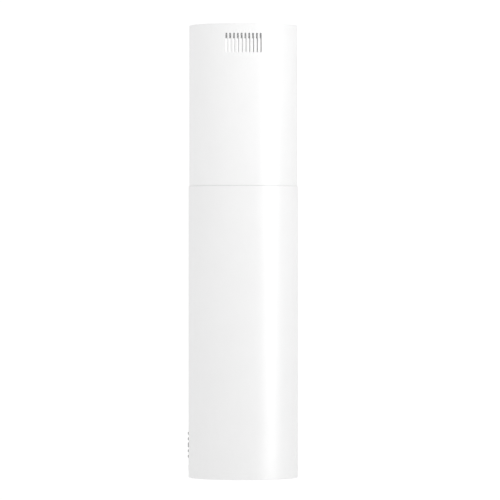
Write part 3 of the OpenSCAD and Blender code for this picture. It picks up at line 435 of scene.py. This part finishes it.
def sharpen(obj, angle):
    """Shades smooth but for edges folded more than an angle, in degrees."""
    obj.data.shade_smooth()
    obj.data.set_sharp_from_angle(angle=math.radians(angle))


def finish_piece(obj, body, slot, *replaced):
    """Gives a piece its material, its body and the CAD nodes that it stands for."""
    obj.data.materials.append(looks[slot])
    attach(obj, body)
    if replaced:
        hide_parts(*replaced)


def fillet(loop, radii, steps=4):
    """A closed outline with each corner rounded, no more than its sides allow."""
    out = []
    for i, (p, r) in enumerate(zip(loop, radii)):
        if r <= 0:
            out.append(tuple(p))
            continue
        p = Vector(p)
        a, b = Vector(loop[i - 1]) - p, Vector(loop[(i + 1) % len(loop)]) - p
        half = a.angle(b) / 2
        reach = min(r / math.tan(half), a.length * 0.49, b.length * 0.49)
        r = reach * math.tan(half)
        start, end = p + a.normalized() * reach, p + b.normalized() * reach
        centre = p + (a.normalized() + b.normalized()).normalized() * (r / math.sin(half))
        for k in range(steps + 1):
            ray = (start - centre).slerp(end - centre, k / steps)
            out.append(tuple(centre + ray * r))
    return out


def revolved(name, loop, segments=96, axis="Z", at=(0, 0, 0), sharp=35):
    """A closed (radius, height) outline turned round an axis through a point."""
    turn = {"Z": Matrix.Identity(3), "X": Matrix.Rotation(math.radians(90), 3, "Y"),
            "-Y": Matrix.Rotation(math.radians(90), 3, "X")}[axis]
    verts, rings = [], []
    for r, h in loop:
        if r < 1e-7:
            rings.append([len(verts)] * segments)
            verts.append(Vector(at) + turn @ Vector((0, 0, h)))
            continue
        rings.append(list(range(len(verts), len(verts) + segments)))
        for k in range(segments):
            a = 2 * math.pi * k / segments
            verts.append(Vector(at) + turn @ Vector((r * math.cos(a), r * math.sin(a), h)))
    faces = []
    for i in range(len(rings)):
        low, high = rings[i], rings[(i + 1) % len(rings)]
        if low[0] == low[1] and high[0] == high[1]:
            continue
        for k in range(segments):
            m = (k + 1) % segments
            corners = [low[k], low[m], high[m], high[k]]
            faces.append([c for j, c in enumerate(corners) if c != corners[j - 1]])
    obj = make_object(name, verts, faces)
    outward(obj)
    sharpen(obj, sharp)
    return obj


def outward(obj):
    """Turns the faces of a closed mesh outwards."""
    bm = bmesh.new()
    bm.from_mesh(obj.data)
    bmesh.ops.recalc_face_normals(bm, faces=bm.faces)
    bm.to_mesh(obj.data)
    bm.free()


def inside(point, outline):
    """Whether a 2D point lies in a closed outline."""
    x, y = point
    hit = False
    for (x0, y0), (x1, y1) in zip(outline, outline[1:] + outline[:1]):
        if (y0 > y) != (y1 > y) and x < (x1 - x0) * (y - y0) / (y1 - y0) + x0:
            hit = not hit
    return hit


def split_sides(outline, step):
    """The same closed outline with long sides cut into shorter ones."""
    out = []
    for a, b in zip(outline, outline[1:] + outline[:1]):
        a, b = Vector(a), Vector(b)
        count = max(1, math.ceil((b - a).length / step))
        out += [tuple(a.lerp(b, k / count)) for k in range(count)]
    return out


def triangulated(border, holes, step):
    """Points and triangles that fill a border round its holes, with a grid of points inside.

    Returns the points, the triangles, and for the border and each hole the indices of its points."""
    points, edges = [], []
    for outline in [border, *holes]:
        first = len(points)
        points += outline
        edges += [(first + k, first + (k + 1) % len(outline)) for k in range(len(outline))]
    us, vs = [p[0] for p in border], [p[1] for p in border]
    clear = step * 0.45
    for i in range(1, math.ceil((max(us) - min(us)) / step)):
        for j in range(1, math.ceil((max(vs) - min(vs)) / step)):
            p = (min(us) + i * step, min(vs) + j * step)
            near = min((Vector(p) - Vector(q)).length for q in points[:len(edges)])
            if near > clear and inside(p, border) and not any(inside(p, h) for h in holes):
                points.append(p)
    found, _, triangles, origins, _, _ = delaunay_2d_cdt([Vector(p) for p in points], edges, [], 1, 1e-9)
    new = {}
    for k, ids in enumerate(origins):
        for i in ids:
            new[i] = k
    kept = []
    for t in triangles:
        centre = sum((found[i] for i in t), Vector((0, 0))) / 3
        if inside(centre, border) and not any(inside(centre, h) for h in holes):
            kept.append(list(t))
    outlines, first = [], 0
    for outline in [border, *holes]:
        outlines.append([new[first + k] for k in range(len(outline))])
        first += len(outline)
    return found, kept, outlines


def loft(name, rings, closed=False, sharp=35):
    """A skin over rings of equally many points, with flat ends, or joined from last to first."""
    n, last = len(rings[0]), len(rings) - 1
    faces = []
    for i in range(last + closed):
        here, there = i * n, (i + 1) % len(rings) * n
        faces += [[here + k, here + (k + 1) % n, there + (k + 1) % n, there + k] for k in range(n)]
    if not closed:
        faces += [list(range(n)), [last * n + k for k in range(n)]]
    obj = make_object(name, [v for r in rings for v in r], faces)
    outward(obj)
    sharpen(obj, sharp)
    return obj


# ---------------------------------------------------------------- casings
def stadium(u, v, width, height, steps=8):
    """An upright slot's outline with round ends, anticlockwise."""
    r = width / 2
    out = []
    for side, start in ((1, 0), (-1, 180)):
        for k in range(steps + 1):
            a = math.radians(start + 180 * k / steps)
            out.append((u + r * math.cos(a), v + side * (height / 2 - r) + r * math.sin(a)))
    return out


def ring(u, v, radius, steps=32):
    """A circle's outline, anticlockwise."""
    return [(u + radius * math.cos(2 * math.pi * k / steps), v + radius * math.sin(2 * math.pi * k / steps))
            for k in range(steps)]


def rounded_rectangle(u, v, width, height, radius, steps=5):
    corners = [(u + width / 2, v + height / 2), (u - width / 2, v + height / 2),
               (u - width / 2, v - height / 2), (u + width / 2, v - height / 2)]
    return fillet(corners, [radius] * 4, steps)


def casing(name, r_out, z_low, z_high, windows, lip_low, edge):
    """A rolled sheet tube with turned-in lips, a butt seam at the back, and windows cut through it.

    A window is (facing, half width, low, high, outlines): facing is the azimuth in degrees of its middle
    from +X, and its outlines are in (across, height). The upper edge is the (width, depth, outer bend) of
    its lip or hem."""
    bend, inner_bend = 1.1 * mm, 0.3 * mm
    step, turn_step = 2.5 * mm, 1.5
    seam_at, groove = 90, 0.35 * mm
    r_in = r_out - sheet
    low, high = min(w[2] for w in windows), max(w[3] for w in windows)
    loop = [(r_out, z_low), (r_out, low), (r_out, high), (r_out, z_high)]
    lip_high, depth, round_high = edge
    rounding = [bend if lip_low else sheet * 0.35, 0, 0, round_high]
    loop += [(r_out - lip_high, z_high), (r_out - lip_high, z_high - depth), (r_in, z_high - depth)]
    rounding += [min(round_high, depth / 3), sheet * 0.3, 0.2 * mm]
    loop += [(r_in, high), (r_in, low)]
    rounding += [0, 0]
    if lip_low:
        loop += [(r_in, z_low + sheet), (r_out - lip_low, z_low + sheet), (r_out - lip_low, z_low)]
        rounding += [inner_bend, sheet * 0.35, sheet * 0.35]
    else:
        loop += [(r_in, z_low)]
        rounding += [sheet * 0.35]
    profile = fillet(loop, rounding, 4)
    out_cut = next(k for k, p in enumerate(profile) if p == (r_out, low))
    in_cut = next(k for k, p in enumerate(profile) if p == (r_in, high))

    # columns: (facing, across) where a window is, or (angle, None) elsewhere
    columns, spans = [], []
    for w, (facing, half, *_) in enumerate(windows):
        count = math.ceil(2 * half / step)
        first = len(columns)
        columns += [(facing, -half + 2 * half * k / count) for k in range(count + 1)]
        spans.append((first, len(columns) - 1))
        start = facing + math.degrees(math.asin(half / r_out))
        next_facing, next_half = windows[(w + 1) % len(windows)][:2]
        end = next_facing - math.degrees(math.asin(next_half / r_out))
        while end <= start:
            end += 360
        count = math.ceil((end - start) / turn_step)
        stations = [start + (end - start) * k / count for k in range(1, count)]
        seam = seam_at + 360 * (end > seam_at + 360)
        if start < seam < end:
            stations = [a for a in stations if abs(a - seam) > 0.7]
            stations += [seam - 0.09, seam - 0.05, seam + 0.05, seam + 0.09]
        columns += [(a, None) for a in sorted(stations)]

    def near_seam(column, reach):
        facing, across = columns[column]
        off = (facing - seam_at) % 360
        return across is None and min(off, 360 - off) < reach

    def on_chord(facing, across, r, z):
        a, d = math.radians(facing), math.sqrt(r * r - across * across)
        return Vector((d * math.cos(a) - across * math.sin(a), d * math.sin(a) + across * math.cos(a), z))

    def place(column, r, z):
        facing, across = columns[column]
        if across is not None:
            return on_chord(facing, across, r, z)
        if near_seam(column, 0.06) and r > r_in + sheet / 2 and z_low + sheet < z < z_high - sheet:
            r -= groove
        a = math.radians(facing)
        return Vector((r * math.cos(a), r * math.sin(a), z))

    verts = [place(c, r, z) for c in range(len(columns)) for r, z in profile]
    size = len(profile)
    faces, normals = [], []
    ways = [Vector((z1 - z0, r0 - r1)) for (r0, z0), (r1, z1) in zip(profile, profile[1:] + profile[:1])]
    ways = [w.normalized() if w.length > 1e-9 else ways[k - 1].normalized() for k, w in enumerate(ways)]

    def slope(k, side):
        """The profile's normal at the start or end of side k, blended with a neighbour that turns little."""
        own, other = ways[k], ways[(k - 1 + 2 * side) % size]
        return (own + other).normalized() if own.dot(other) > 0.82 else own

    def facing_out(v, tilt):
        out = Vector((v.x, v.y, 0)).normalized() * tilt[0]
        return Vector((out.x, out.y, tilt[1]))

    def add(face, tilts=None):
        faces.append(face)
        if tilts is None:
            a, b, c = (verts[face[k]] for k in range(3))
            normals.append([(b - a).cross(c - a).normalized()] * len(face))
        else:
            normals.append([facing_out(verts[v], tilt) for v, tilt in zip(face, tilts)])

    for c in range(len(columns)):
        d = (c + 1) % len(columns)
        in_window = any(a <= c < b for a, b in spans)
        grooved = near_seam(c, 0.12)
        for k in range(size):
            m = (k + 1) % size
            if in_window and k in (out_cut, in_cut):
                continue
            face = [c * size + k, d * size + k, d * size + m, c * size + m]
            start, end = slope(k, 0), slope(k, 1)
            add(face, None if grooved else [start, start, end, end])
    for (first, last), (facing, half, _, _, outlines) in zip(spans, windows):
        across = [columns[c][1] for c in range(first, last + 1)]
        border = [(u, low) for u in across] + [(u, high) for u in reversed(across)]
        cuts = [split_sides(o, 3 * mm) for o in outlines]
        points, triangles, edges = triangulated(border, cuts, step)
        layers = []
        for r, k_low, k_high in ((r_out, out_cut, out_cut + 1), (r_in, in_cut + 1, in_cut)):
            known = {}
            for i, c in zip(edges[0], list(range(first, last + 1)) + list(range(last, first - 1, -1))):
                known[i] = c * size + (k_low if points[i].y < (low + high) / 2 else k_high)
            for i, p in enumerate(points):
                if i not in known:
                    known[i] = len(verts)
                    verts.append(on_chord(facing, p.x, r, p.y))
            layers.append(known)
        for t in triangles:
            a, b, c = (points[i] for i in t)
            t = t if (b - a).cross(c - a) > 0 else t[::-1]
            add([layers[0][i] for i in t], [(1, 0)] * 3)
            add([layers[1][i] for i in reversed(t)], [(-1, 0)] * 3)
        for outline in edges[1:]:
            for i, j in zip(outline, outline[1:] + outline[:1]):
                add([layers[0][j], layers[0][i], layers[1][i], layers[1][j]])
    return make_object(name, verts, faces, normals=normals)


def upper_shell():
    """The upper casing, with a comb of slots on each side."""
    z = slot_top - slot_h / 2
    across = [(i - (slot_count - 1) / 2) * slot_pitch for i in range(slot_count)]
    outlines = [stadium(u, z, slot_w, slot_h) for u in across]
    half = slot_count / 2 * slot_pitch + 8 * mm
    low, high = slot_top - slot_h - 8 * mm, slot_top + 8 * mm
    windows = [(0, half, low, high, outlines), (180, half, low, high, outlines)]
    shell = casing("upper_casing_shell", upper_r, upper_lo.z, upper_hi.z, windows, 0, (lip, sheet, 0.35 * mm))
    finish_piece(shell, "upper_casing", "white_steel", "upper_casing")


def lower_shell():
    """The lower casing, with holes for the buttons and the display, and a hem at its top."""
    gap, half, rest = 0.3 * mm, 18 * mm, 14 * mm
    boxes = [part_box(name) for name in button_names]
    heights = [(lo.z + hi.z) / 2 for lo, hi in boxes]
    outlines = [ring(0, z, button_r + gap) for z in heights]
    lo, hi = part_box("display_lens")
    w, h = hi.x - lo.x + 2 * gap, hi.z - lo.z + 2 * gap
    outlines.append(rounded_rectangle(0, (lo.z + hi.z) / 2, w, h, 2 * mm))
    windows = [(-90, half, min(heights) - rest, max(heights) + rest, outlines)]
    shell = casing("lower_casing_shell", lower_r, rim_z, seam_z, windows, lip, (1.9 * mm, 2 * mm, 0.9 * mm))
    finish_piece(shell, "lower_unit", "white_steel", "lower_casing")


def seal():
    """The felt between the casings, with a dark lip that just shows above the lower one's hem: painted shade
    for the shadow gap between the casings.
    """
    lo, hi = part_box("seam_strip")
    inner = upper_r + 0.1 * mm
    # The points above seam_z raise the dark felt 0.4 mm over the hem, a painted shadow line along the seam.
    loop = [(hi.x, lo.z), (hi.x, hi.z), (inner + 0.45 * mm, hi.z + 0.4 * mm),
            (inner + 0.4 * mm, seam_z + 0.1 * mm), (inner + 0.2 * mm, seam_z + 0.4 * mm),
            (inner, seam_z + 0.4 * mm), (inner, lo.z)]
    finish_piece(revolved("seam_felt_with_gap_shadow_lip", loop, 256), "lower_unit", "seal_felt", "seam_strip")


# ---------------------------------------------------------------- controls
def push_buttons():
    """Turned metal caps with a dished face and a chamfer."""
    r, stem_r, flange_r = button_r, 1.7 * mm, 6.2 * mm
    flange_back, flange_front = lower_r - 6.7 * mm, lower_r - 5.2 * mm
    for name in button_names:
        lo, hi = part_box(name)
        face, end = -lo.y, -hi.y
        dish = [(r * 0.8 * (1 - k / 6), face - 0.5 * mm * (1 - (1 - k / 6) ** 2)) for k in range(7)]
        loop = [(0, end), (stem_r, end), (stem_r, flange_back), (flange_r, flange_back),
                (flange_r, flange_front), (r, flange_front), (r, face - 0.6 * mm),
                (r - 0.1 * mm, face - 0.25 * mm), (r - 0.4 * mm, face), *dish]
        cap = revolved(name + "_cap", loop, 64, "-Y", (0, 0, (lo.z + hi.z) / 2), sharp=22)
        finish_piece(cap, name, "button_metal", name)


def display():
    """A black window in a thin metal bezel."""
    lo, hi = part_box("display_lens")
    z, face, back = (lo.z + hi.z) / 2, -lo.y, -hi.y
    w, h = hi.x - lo.x, hi.z - lo.z

    def outline(inset, depth):
        shape = rounded_rectangle(0, z, w - 2 * inset, h - 2 * inset, 1.8 * mm - inset * 0.7, 6)
        return [(u, -depth, v) for u, v in shape]

    rings = [outline(0, back), outline(0, face - 0.7 * mm), outline(0.1 * mm, face - 0.3 * mm),
             outline(0.4 * mm, face), outline(1.0 * mm, face), outline(1.2 * mm, face - 0.4 * mm),
             outline(1.3 * mm, back + 1 * mm), outline(1.0 * mm, back)]
    bezel = loft("display_bezel", rings, closed=True, sharp=25)
    finish_piece(bezel, "lower_unit", "button_metal", "display_lens")
    glass = loft("display_glass", [outline(1.25 * mm, back + 1 * mm), outline(1.25 * mm, face - 0.35 * mm),
                                   outline(1.5 * mm, face - 0.12 * mm)], sharp=25)
    finish_piece(glass, "lower_unit", "display_window", "display_lens")


def badge():
    """A blank plate that follows the casing's curve, with a raised brushed middle."""
    lo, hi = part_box("badge_plate")
    z, w, h = (lo.z + hi.z) / 2, hi.x - lo.x, hi.z - lo.z
    thick = 0.6 * mm
    border = split_sides(rounded_rectangle(0, z, w - 0.5 * mm, h - 0.5 * mm, 2.7 * mm, 6), 2 * mm)
    points, triangles, edges = triangulated(border, [], 2 * mm)

    def on_wall(u, v, rise):
        return Vector((u, -math.sqrt((lower_r + rise) ** 2 - u * u), v))

    verts = [on_wall(p.x, p.y, thick) for p in points]
    faces = []
    for t in triangles:
        a, b, c = (points[i] for i in t)
        faces.append(t if (b - a).cross(c - a) > 0 else t[::-1])
    grow = [(u * w / (w - 0.5 * mm), z + (v - z) * h / (h - 0.5 * mm)) for u, v in border]
    rims = [edges[0]]
    for rise in (thick - 0.25 * mm, 0):
        rims.append(list(range(len(verts), len(verts) + len(grow))))
        verts += [on_wall(u, v, rise) for u, v in grow]
    n = len(grow)
    for inner, outer in zip(rims, rims[1:]):
        faces += [[inner[k], outer[k], outer[(k + 1) % n], inner[(k + 1) % n]] for k in range(n)]
    faces.append(rims[-1])
    plate = make_object("badge", verts, faces)
    outward(plate)
    sharpen(plate, 25)
    finish_piece(plate, "lower_unit", "badge_metal", "badge_plate")


# ---------------------------------------------------------------- underside
def underside():
    """The bottom plate: a pressed sheet with a skirt, a flanged filter well and the magnets' ledge."""
    thick, bend = 1.5 * mm, 1.8 * mm
    z = plate_lo.z
    r = (plate_hi.x - plate_lo.x) / 2
    filter_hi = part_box("filter_frame")[1]
    half = filter_hi.y + 0.6 * mm
    lamp_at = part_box("lamp_bodies")[1].x - lamp_r
    hole_r = 19.3 * mm

    def square(size, height):
        return [(u, v, height) for u, v in rounded_rectangle(0, 0, 2 * size, 2 * size, 1.2 * mm, 5)]

    opening = split_sides([(u, v) for u, v, _ in square(half + bend, 0)], 8 * mm)
    holes = [opening] + [ring(lamp_at * x, lamp_at * y, hole_r, 48) for x, y in four_ways]
    points, triangles, edges = triangulated(ring(0, 0, r - bend, 192), holes, 8 * mm)
    n = len(points)
    verts = [(p.x, p.y, z) for p in points] + [(p.x, p.y, z + thick) for p in points]
    faces = [f for t in triangles for f in (list(t), [i + n for i in reversed(t)])]
    for outline in edges:
        faces += [[i, j, j + n, i + n] for i, j in zip(outline, outline[1:] + outline[:1])]
    sheet_piece = make_object("bottom_sheet", verts, faces)
    outward(sheet_piece)
    sharpen(sheet_piece, 30)
    finish_piece(sheet_piece, "lower_unit", "white_steel", "bottom_plate")

    angles = [math.radians(a) for a in range(0, 91, 15)]
    arc = [(math.sin(a) * bend, (1 - math.cos(a)) * bend) for a in angles]
    skirt = [(r - bend + x, z + y) for x, y in arc]
    skirt += [(r, z + 12 * mm), (r - 1 * mm, z + 12 * mm), (r - 1 * mm, z + bend + 0.6 * mm),
              (r - bend - 0.4 * mm, z + thick), (r - bend, z + thick)]
    finish_piece(revolved("bottom_skirt", skirt, 192), "lower_unit", "white_steel", "bottom_plate")

    top = z + 15 * mm
    rings = [square(half + bend - x, z + y) for x, y in arc]
    rings += [square(half + out, height) for out, height in (
        (0, top - 0.3 * mm), (0.3 * mm, top), (0.7 * mm, top), (1 * mm, top - 0.3 * mm),
        (1 * mm, z + thick), (bend, z + thick))]
    finish_piece(loft("filter_well", rings, closed=True), "lower_unit", "white_steel", "bottom_plate")

    low, front, back = filter_hi.z + 0.6 * mm, -half, -half + 12 * mm
    ledge = [(front, low), (back, low), (back, low + 2.5 * mm), (back - 0.8 * mm, low + 2.5 * mm),
             (back - 0.8 * mm, low + 1 * mm), (front, low + 1 * mm)]
    ledge = fillet(ledge, [0, 0.7 * mm, 0.3 * mm, 0.3 * mm, 0, 0], 3)
    ends = [[(x, y, h) for y, h in ledge] for x in (-half, half)]
    finish_piece(loft("magnet_ledge", ends), "lower_unit", "white_steel", "bottom_plate")


def lamps():
    """Four recessed lamps: a bright bezel and finned body, and a ribbed diffuser."""
    lo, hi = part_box("lamp_bodies")
    lamp_at, z = hi.x - lamp_r, lo.z
    bezel = fillet([(lamp_r, 1.4 * mm), (lamp_r, 0), (18.3 * mm, 0), (17.55 * mm, 0.7 * mm),
                    (17.55 * mm, 1.3 * mm), (15 * mm, 1.3 * mm), (15 * mm, 8 * mm), (0, 8 * mm)],
                   [0, 0.8 * mm, 0.4 * mm, 0.2 * mm, 0, 0, 0, 0])
    fins = [(0, 19.4 * mm), (17 * mm, 19.4 * mm)]
    for k in range(6):
        h = 19.4 * mm - 2.4 * mm * k
        fins += [(19 * mm, h - 0.4 * mm), (19 * mm, h - 1.4 * mm),
                 (16.5 * mm, h - 1.5 * mm), (16.5 * mm, h - 2.3 * mm)]
    fins = [fins[0]] + fins[2:] + [(19 * mm, 4.6 * mm), (19 * mm, 1.4 * mm)]
    ribs = [(r * mm / 2, (0.22 + 0.3 * (r / 35) ** 2 + (0.07 if r % 2 else -0.07)) * mm) for r in range(34)]
    lens = ribs + [(17.3 * mm, 0.6 * mm), (17.5 * mm, 0.8 * mm), (17.5 * mm, 1.3 * mm), (0, 1.3 * mm)]
    for k, (x, y) in enumerate(four_ways, 1):
        at = (lamp_at * x, lamp_at * y, z)
        body = revolved(f"lamp_{k}_body", bezel + fins, 72, at=at)
        finish_piece(body, "lower_unit", "lamp_metal", "lamp_bodies")
        glass = revolved(f"lamp_{k}_lens", lens, 72, at=at, sharp=60)
        finish_piece(glass, "lower_unit", "lamp_glass", "lamp_lenses")


# ---------------------------------------------------------------- grease filter
def zigzag_layer(half, z, pitch, step, lengthwise, gaps):
    """Verts and faces of one layer of expanded metal, whose strands meet at each other's bends."""
    verts, faces = [], []
    tall, wide, lean = 0.32 * mm, 1.05 * mm, 0.3 * mm
    count, steps = round(2 * half / pitch), round(2 * half / step)
    for j in range(count):
        before = None
        for i in range(steps + 1):
            up = 1 if (i + j) % 2 else -1
            along = -half + 2 * half * i / steps
            across = -half + pitch * (j + 0.5) + up * (pitch / 2 - 0.35 * mm)
            x, y = (along, across) if lengthwise else (across, along)
            blocked = abs(x) < gaps[0] and y < gaps[1]
            if blocked or abs(x) > half or abs(y) > half:
                before = None
                continue
            first = len(verts)
            for a, b in ((-1, -1), (1, -1), (1, 1), (-1, 1)):
                side = a * wide / 2 - b * lean / 2
                height = z + up * 0.25 * mm + b * tall / 2 + a * lean / 2
                verts.append((x, y + side, height) if lengthwise else (x + side, y, height))
            if before is not None:
                faces += [[before + k, before + (k + 1) % 4, first + (k + 1) % 4, first + k] for k in range(4)]
            else:
                faces.append([first + k for k in (3, 2, 1, 0)])
            before = first
    return verts, faces


def grease_filter():
    """A mitred frame round layers of expanded aluminium, with a moulded finger cup."""
    lo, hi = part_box("filter_frame")
    half, height, wide = hi.y, hi.z - lo.z, 9 * mm
    pivot_in, pivot_r = 4.5 * mm, 2 * mm

    def rounded_end(rear, d, h, t):
        """A point near a side bar's rear end, where the underside curves up round the pivot."""
        mitre = half - d - 0.12 * mm
        x = min(mitre, half - pivot_in)
        x += (mitre - x) * math.sin(t * math.pi / 2)
        past = max(x - half + pivot_in, 0)
        rise = pivot_in - math.sqrt(pivot_in ** 2 - past ** 2)
        return rear * x, d, rise + h * (1 - rise / height)

    for k, name in enumerate(("front", "right", "back", "left")):
        turn = Matrix.Rotation(math.radians(90 * k), 3, "Z")
        soft = pivot_in if name == "back" else 0.9 * mm
        corners = [(0, 0), (wide, 0), (wide, height), (0, height)]
        section = fillet(corners, [soft, 0.7 * mm, 0.7 * mm, 0.7 * mm], 5)
        rear = {"right": 1, "left": -1}.get(name)
        if rear:
            corner = section.index(min(section, key=lambda p: (p[1], p[0])))
            section[corner + 1:corner + 1] = [(x * mm, 0) for x in (1.7, 2.5, 3.4, 4.4)]
            rings = [[(-rear * (half - d - 0.12 * mm), d, h) for d, h in section]]
            rings += [[rounded_end(rear, d, h, t / 6) for d, h in section] for t in range(7)]
        else:
            rings = [[(end * (half - d - 0.12 * mm), d, h) for d, h in section] for end in (-1, 1)]
        rings = [[turn @ Vector((x, -half + d, lo.z + h)) for x, d, h in points] for points in rings]
        finish_piece(loft("filter_bar_" + name, rings), "grease_filter", "filter_aluminium", "filter_frame")
    rivet_r, rivet_h = 1.6 * mm, 0.5 * mm
    angles = [math.radians(a) for a in range(0, 91, 15)]
    dome = [(rivet_r * math.cos(a), -rivet_h * math.sin(a)) for a in angles]
    dome += [(0, 0.2 * mm), (rivet_r, 0.2 * mm)]
    for name, side in (("left", -1), ("right", 1)):
        pin = [(0, -1 * mm), (pivot_r, -1 * mm), (pivot_r, 3 * mm), (0, 3 * mm)]
        pin = fillet(pin, [0, 0, 0.4 * mm, 0], 3)
        pin = [(r, side * (half + h)) for r, h in pin]
        piece = revolved("filter_pin_" + name, pin, 32, "X", (0, half - pivot_in, lo.z + pivot_in))
        finish_piece(piece, "grease_filter", "filter_aluminium", "filter_frame")
        x = side * (half - wide / 2)
        for i, y in enumerate((-half + wide / 2, half - wide / 2 - 1.2 * mm), 1):
            rivet = revolved(f"filter_rivet_{name}_{i}", dome, 24, at=(x, y, lo.z + 0.02 * mm))
            finish_piece(rivet, "grease_filter", "filter_aluminium", "filter_frame")

    cup_lo, cup_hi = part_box("filter_handle")
    reach = half - wide + 1 * mm
    gaps = (cup_hi.x + 0.8 * mm, cup_hi.y + 0.8 * mm)
    verts, faces = [], []
    for k, level in enumerate((1.9, 3.0, 4.1, 5.3, 6.6)):
        pitch, step = (4.4 + 0.5 * (k % 3)) * mm, (4.6 + 0.4 * (k % 2)) * mm
        v, f = zigzag_layer(reach, lo.z + level * mm, pitch, step, k % 2 == 0, gaps)
        faces += [[i + len(verts) for i in face] for face in f]
        verts += v
    mesh = make_object("filter_layers", verts, faces, smooth=False)
    finish_piece(mesh, "grease_filter", "filter_mesh_metal", "filter_mesh")

    x, y = (cup_lo.x + cup_hi.x) / 2, (cup_lo.y + cup_hi.y) / 2
    w, d = cup_hi.x - cup_lo.x, cup_hi.y - cup_lo.y

    def outline(inset, level):
        shape = rounded_rectangle(x, y, w - 2 * inset, d - 2 * inset, max(3 * mm - inset * 0.5, 1 * mm), 6)
        return [(u, v, level) for u, v in shape]

    z0, z1 = cup_lo.z, cup_hi.z
    rings = [outline(inset * mm, level) for inset, level in (
        (0.3, z1), (0, z1 - 0.3 * mm), (0, z0 + 0.6 * mm), (0.2, z0 + 0.15 * mm), (0.6, z0), (2.2, z0),
        (2.8, z0 + 0.25 * mm), (3.1, z0 + 0.9 * mm), (3.4, z1 - 3.4 * mm), (3.9, z1 - 2.3 * mm),
        (5, z1 - 2 * mm))]
    finish_piece(loft("finger_cup", rings), "grease_filter", "handle_plastic", "filter_handle")


# ---------------------------------------------------------------- leads
def smoothed(points, steps=6):
    """A smooth curve through points, in mm above the bottom rim, as metres in the frame."""
    points = [Vector(p) * mm + Vector((0, 0, rim_z)) for p in points]
    out = []
    for i in range(len(points) - 1):
        a, b, c, d = points[max(i - 1, 0)], points[i], points[i + 1], points[min(i + 2, len(points) - 1)]
        for k in range(steps):
            t = k / steps
            out.append(0.5 * (2 * b + (c - a) * t + (2 * a - 5 * b + 4 * c - d) * t * t
                              + (3 * b - a - 3 * c + d) * t ** 3))
    return out + [points[-1]]


def lead(node, points, radius, slot):
    """A round sleeve along points."""
    curve = bpy.data.curves.new(node + "_sleeve", "CURVE")
    curve.dimensions = "3D"
    curve.bevel_depth, curve.bevel_resolution, curve.use_fill_caps = radius, 4, True
    spline = curve.splines.new("POLY")
    spline.points.add(len(points) - 1)
    for point, place in zip(spline.points, points):
        point.co = (*place, 1)
    obj = bpy.data.objects.new(node + "_sleeve", curve)
    bpy.context.scene.collection.objects.link(obj)
    finish_piece(obj, "lower_unit", slot, node)


def leads():
    """The three leads inside the hood, on the routes that the CAD gives them, and the deck's grommets."""
    panel = [(10, -171.8, 130), (10, -168, 131), (12, -165, 137), (16, -164, 150), (23, -166, 175),
             (29, -169, 210), (30, -170, 250), (30, -170, 300), (30, -170, 350), (30, -169, 363),
             (34, -164, 368), (44, -150, 367), (58, -130, 366), (74, -105, 365), (86, -70, 365),
             (92, -30, 365), (92, 10, 365), (90, 50, 365), (84, 84, 365), (74, 104, 366), (62, 112, 370),
             (52, 115, 373), (47, 120, 374), (46, 129, 374)]
    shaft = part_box("motor_shaft")
    fan_y, fan_h = (shaft[0].y + shaft[1].y) / 2 / mm, ((shaft[0].z + shaft[1].z) / 2 - rim_z) / mm
    slant = math.radians(68)
    motor = [(x, fan_y + r * math.cos(slant), fan_h + r * math.sin(slant))
             for x, r in ((53, 46.2), (54, 52), (59, 58), (64, 62), (65, 68), (65, 80), (65, 106))]
    motor += [(68, 4, 306), (74, 28, 322), (81, 58, 336), (87, 88, 346), (88, 106, 356), (88, 109, 368),
              (84, 111, 384), (74, 112, 396), (60, 113, 401), (46, 113, 402), (36, 116, 402), (32, 122, 402),
              (32, 130, 402)]
    drop = [(-62.2, -150, 384), (-67, -151, 384), (-72, -156, 381), (-74, -164, 372), (-74, -167, 360),
            (-74, -167, 320), (-74, -167, 260), (-74, -167, 200), (-74, -167, 140), (-74, -167, 80),
            (-74, -166, 45), (-75, -162, 30)]
    lo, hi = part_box("lamp_lead")
    circle_r, circle_z = hi.x / mm - 1.8, (lo.z - rim_z) / mm + 1.8
    turns = [math.radians(-118 - 334 * i / 40) for i in range(41)]
    circle = [(circle_r * math.cos(a), circle_r * math.sin(a), circle_z) for a in turns]
    lead("panel_lead", smoothed(panel), 2.5 * mm, "lead_grey")
    lead("motor_lead", smoothed(motor), 1.5 * mm, "lead_black")
    lead("lamp_lead", smoothed(drop + circle, 4), 1.8 * mm, "lead_white")
    deck_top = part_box("deck_plate")[1].z
    bore, neck, flange = 4.4 * mm, 5.9 * mm, 7.2 * mm
    low, under, high = -3.2 * mm, -1.5 * mm, 1.7 * mm
    rubber_ring = fillet([(bore, low), (flange, low), (flange, under), (neck, under),
                          (neck, 0), (flange, 0), (flange, high), (bore, high)],
                         [0.8 * mm, 0.7 * mm, 0.2 * mm, 0, 0, 0.2 * mm, 0.7 * mm, 0.8 * mm], 3)
    for name, x, y in (("panel", 30, -170), ("motor", 88, 108), ("lamp", -74, -167)):
        grommet = revolved("grommet_" + name, rubber_ring, 40, at=(x * mm, y * mm, deck_top))
        finish_piece(grommet, "lower_unit", "lead_black")


# ---------------------------------------------------------------- the scene
look_from(azimuth=89.57, distance=14.8, view_width=1.7825, aside=0.0242, height=-0.8)
studio()
looks = slot_materials()
node_slots = {s["node"]: s["material_slot"] for s in frame["record"]["subparts"]}
for name, node in nodes.items():
    node.data.materials.clear()
    node.data.materials.append(looks[node_slots[name]])

area_light("key", azimuth=135, distance=5, height=0, size=(2.0, 3.2), power=20.3, aim_z=-0.4, shine=False)
area_light("upper", azimuth=120, distance=1.3, height=0.45, size=(0.8, 0.5), power=1.5, aim_z=-0.1, shine=False)
area_light("strip", azimuth=149, distance=5, height=-0.4, size=(2.9, 6), power=200, aim_z=-0.8, fill=False)
upper_shell()
lower_shell()
seal()
push_buttons()
display()
badge()
underside()
lamps()
grease_filter()
leads()
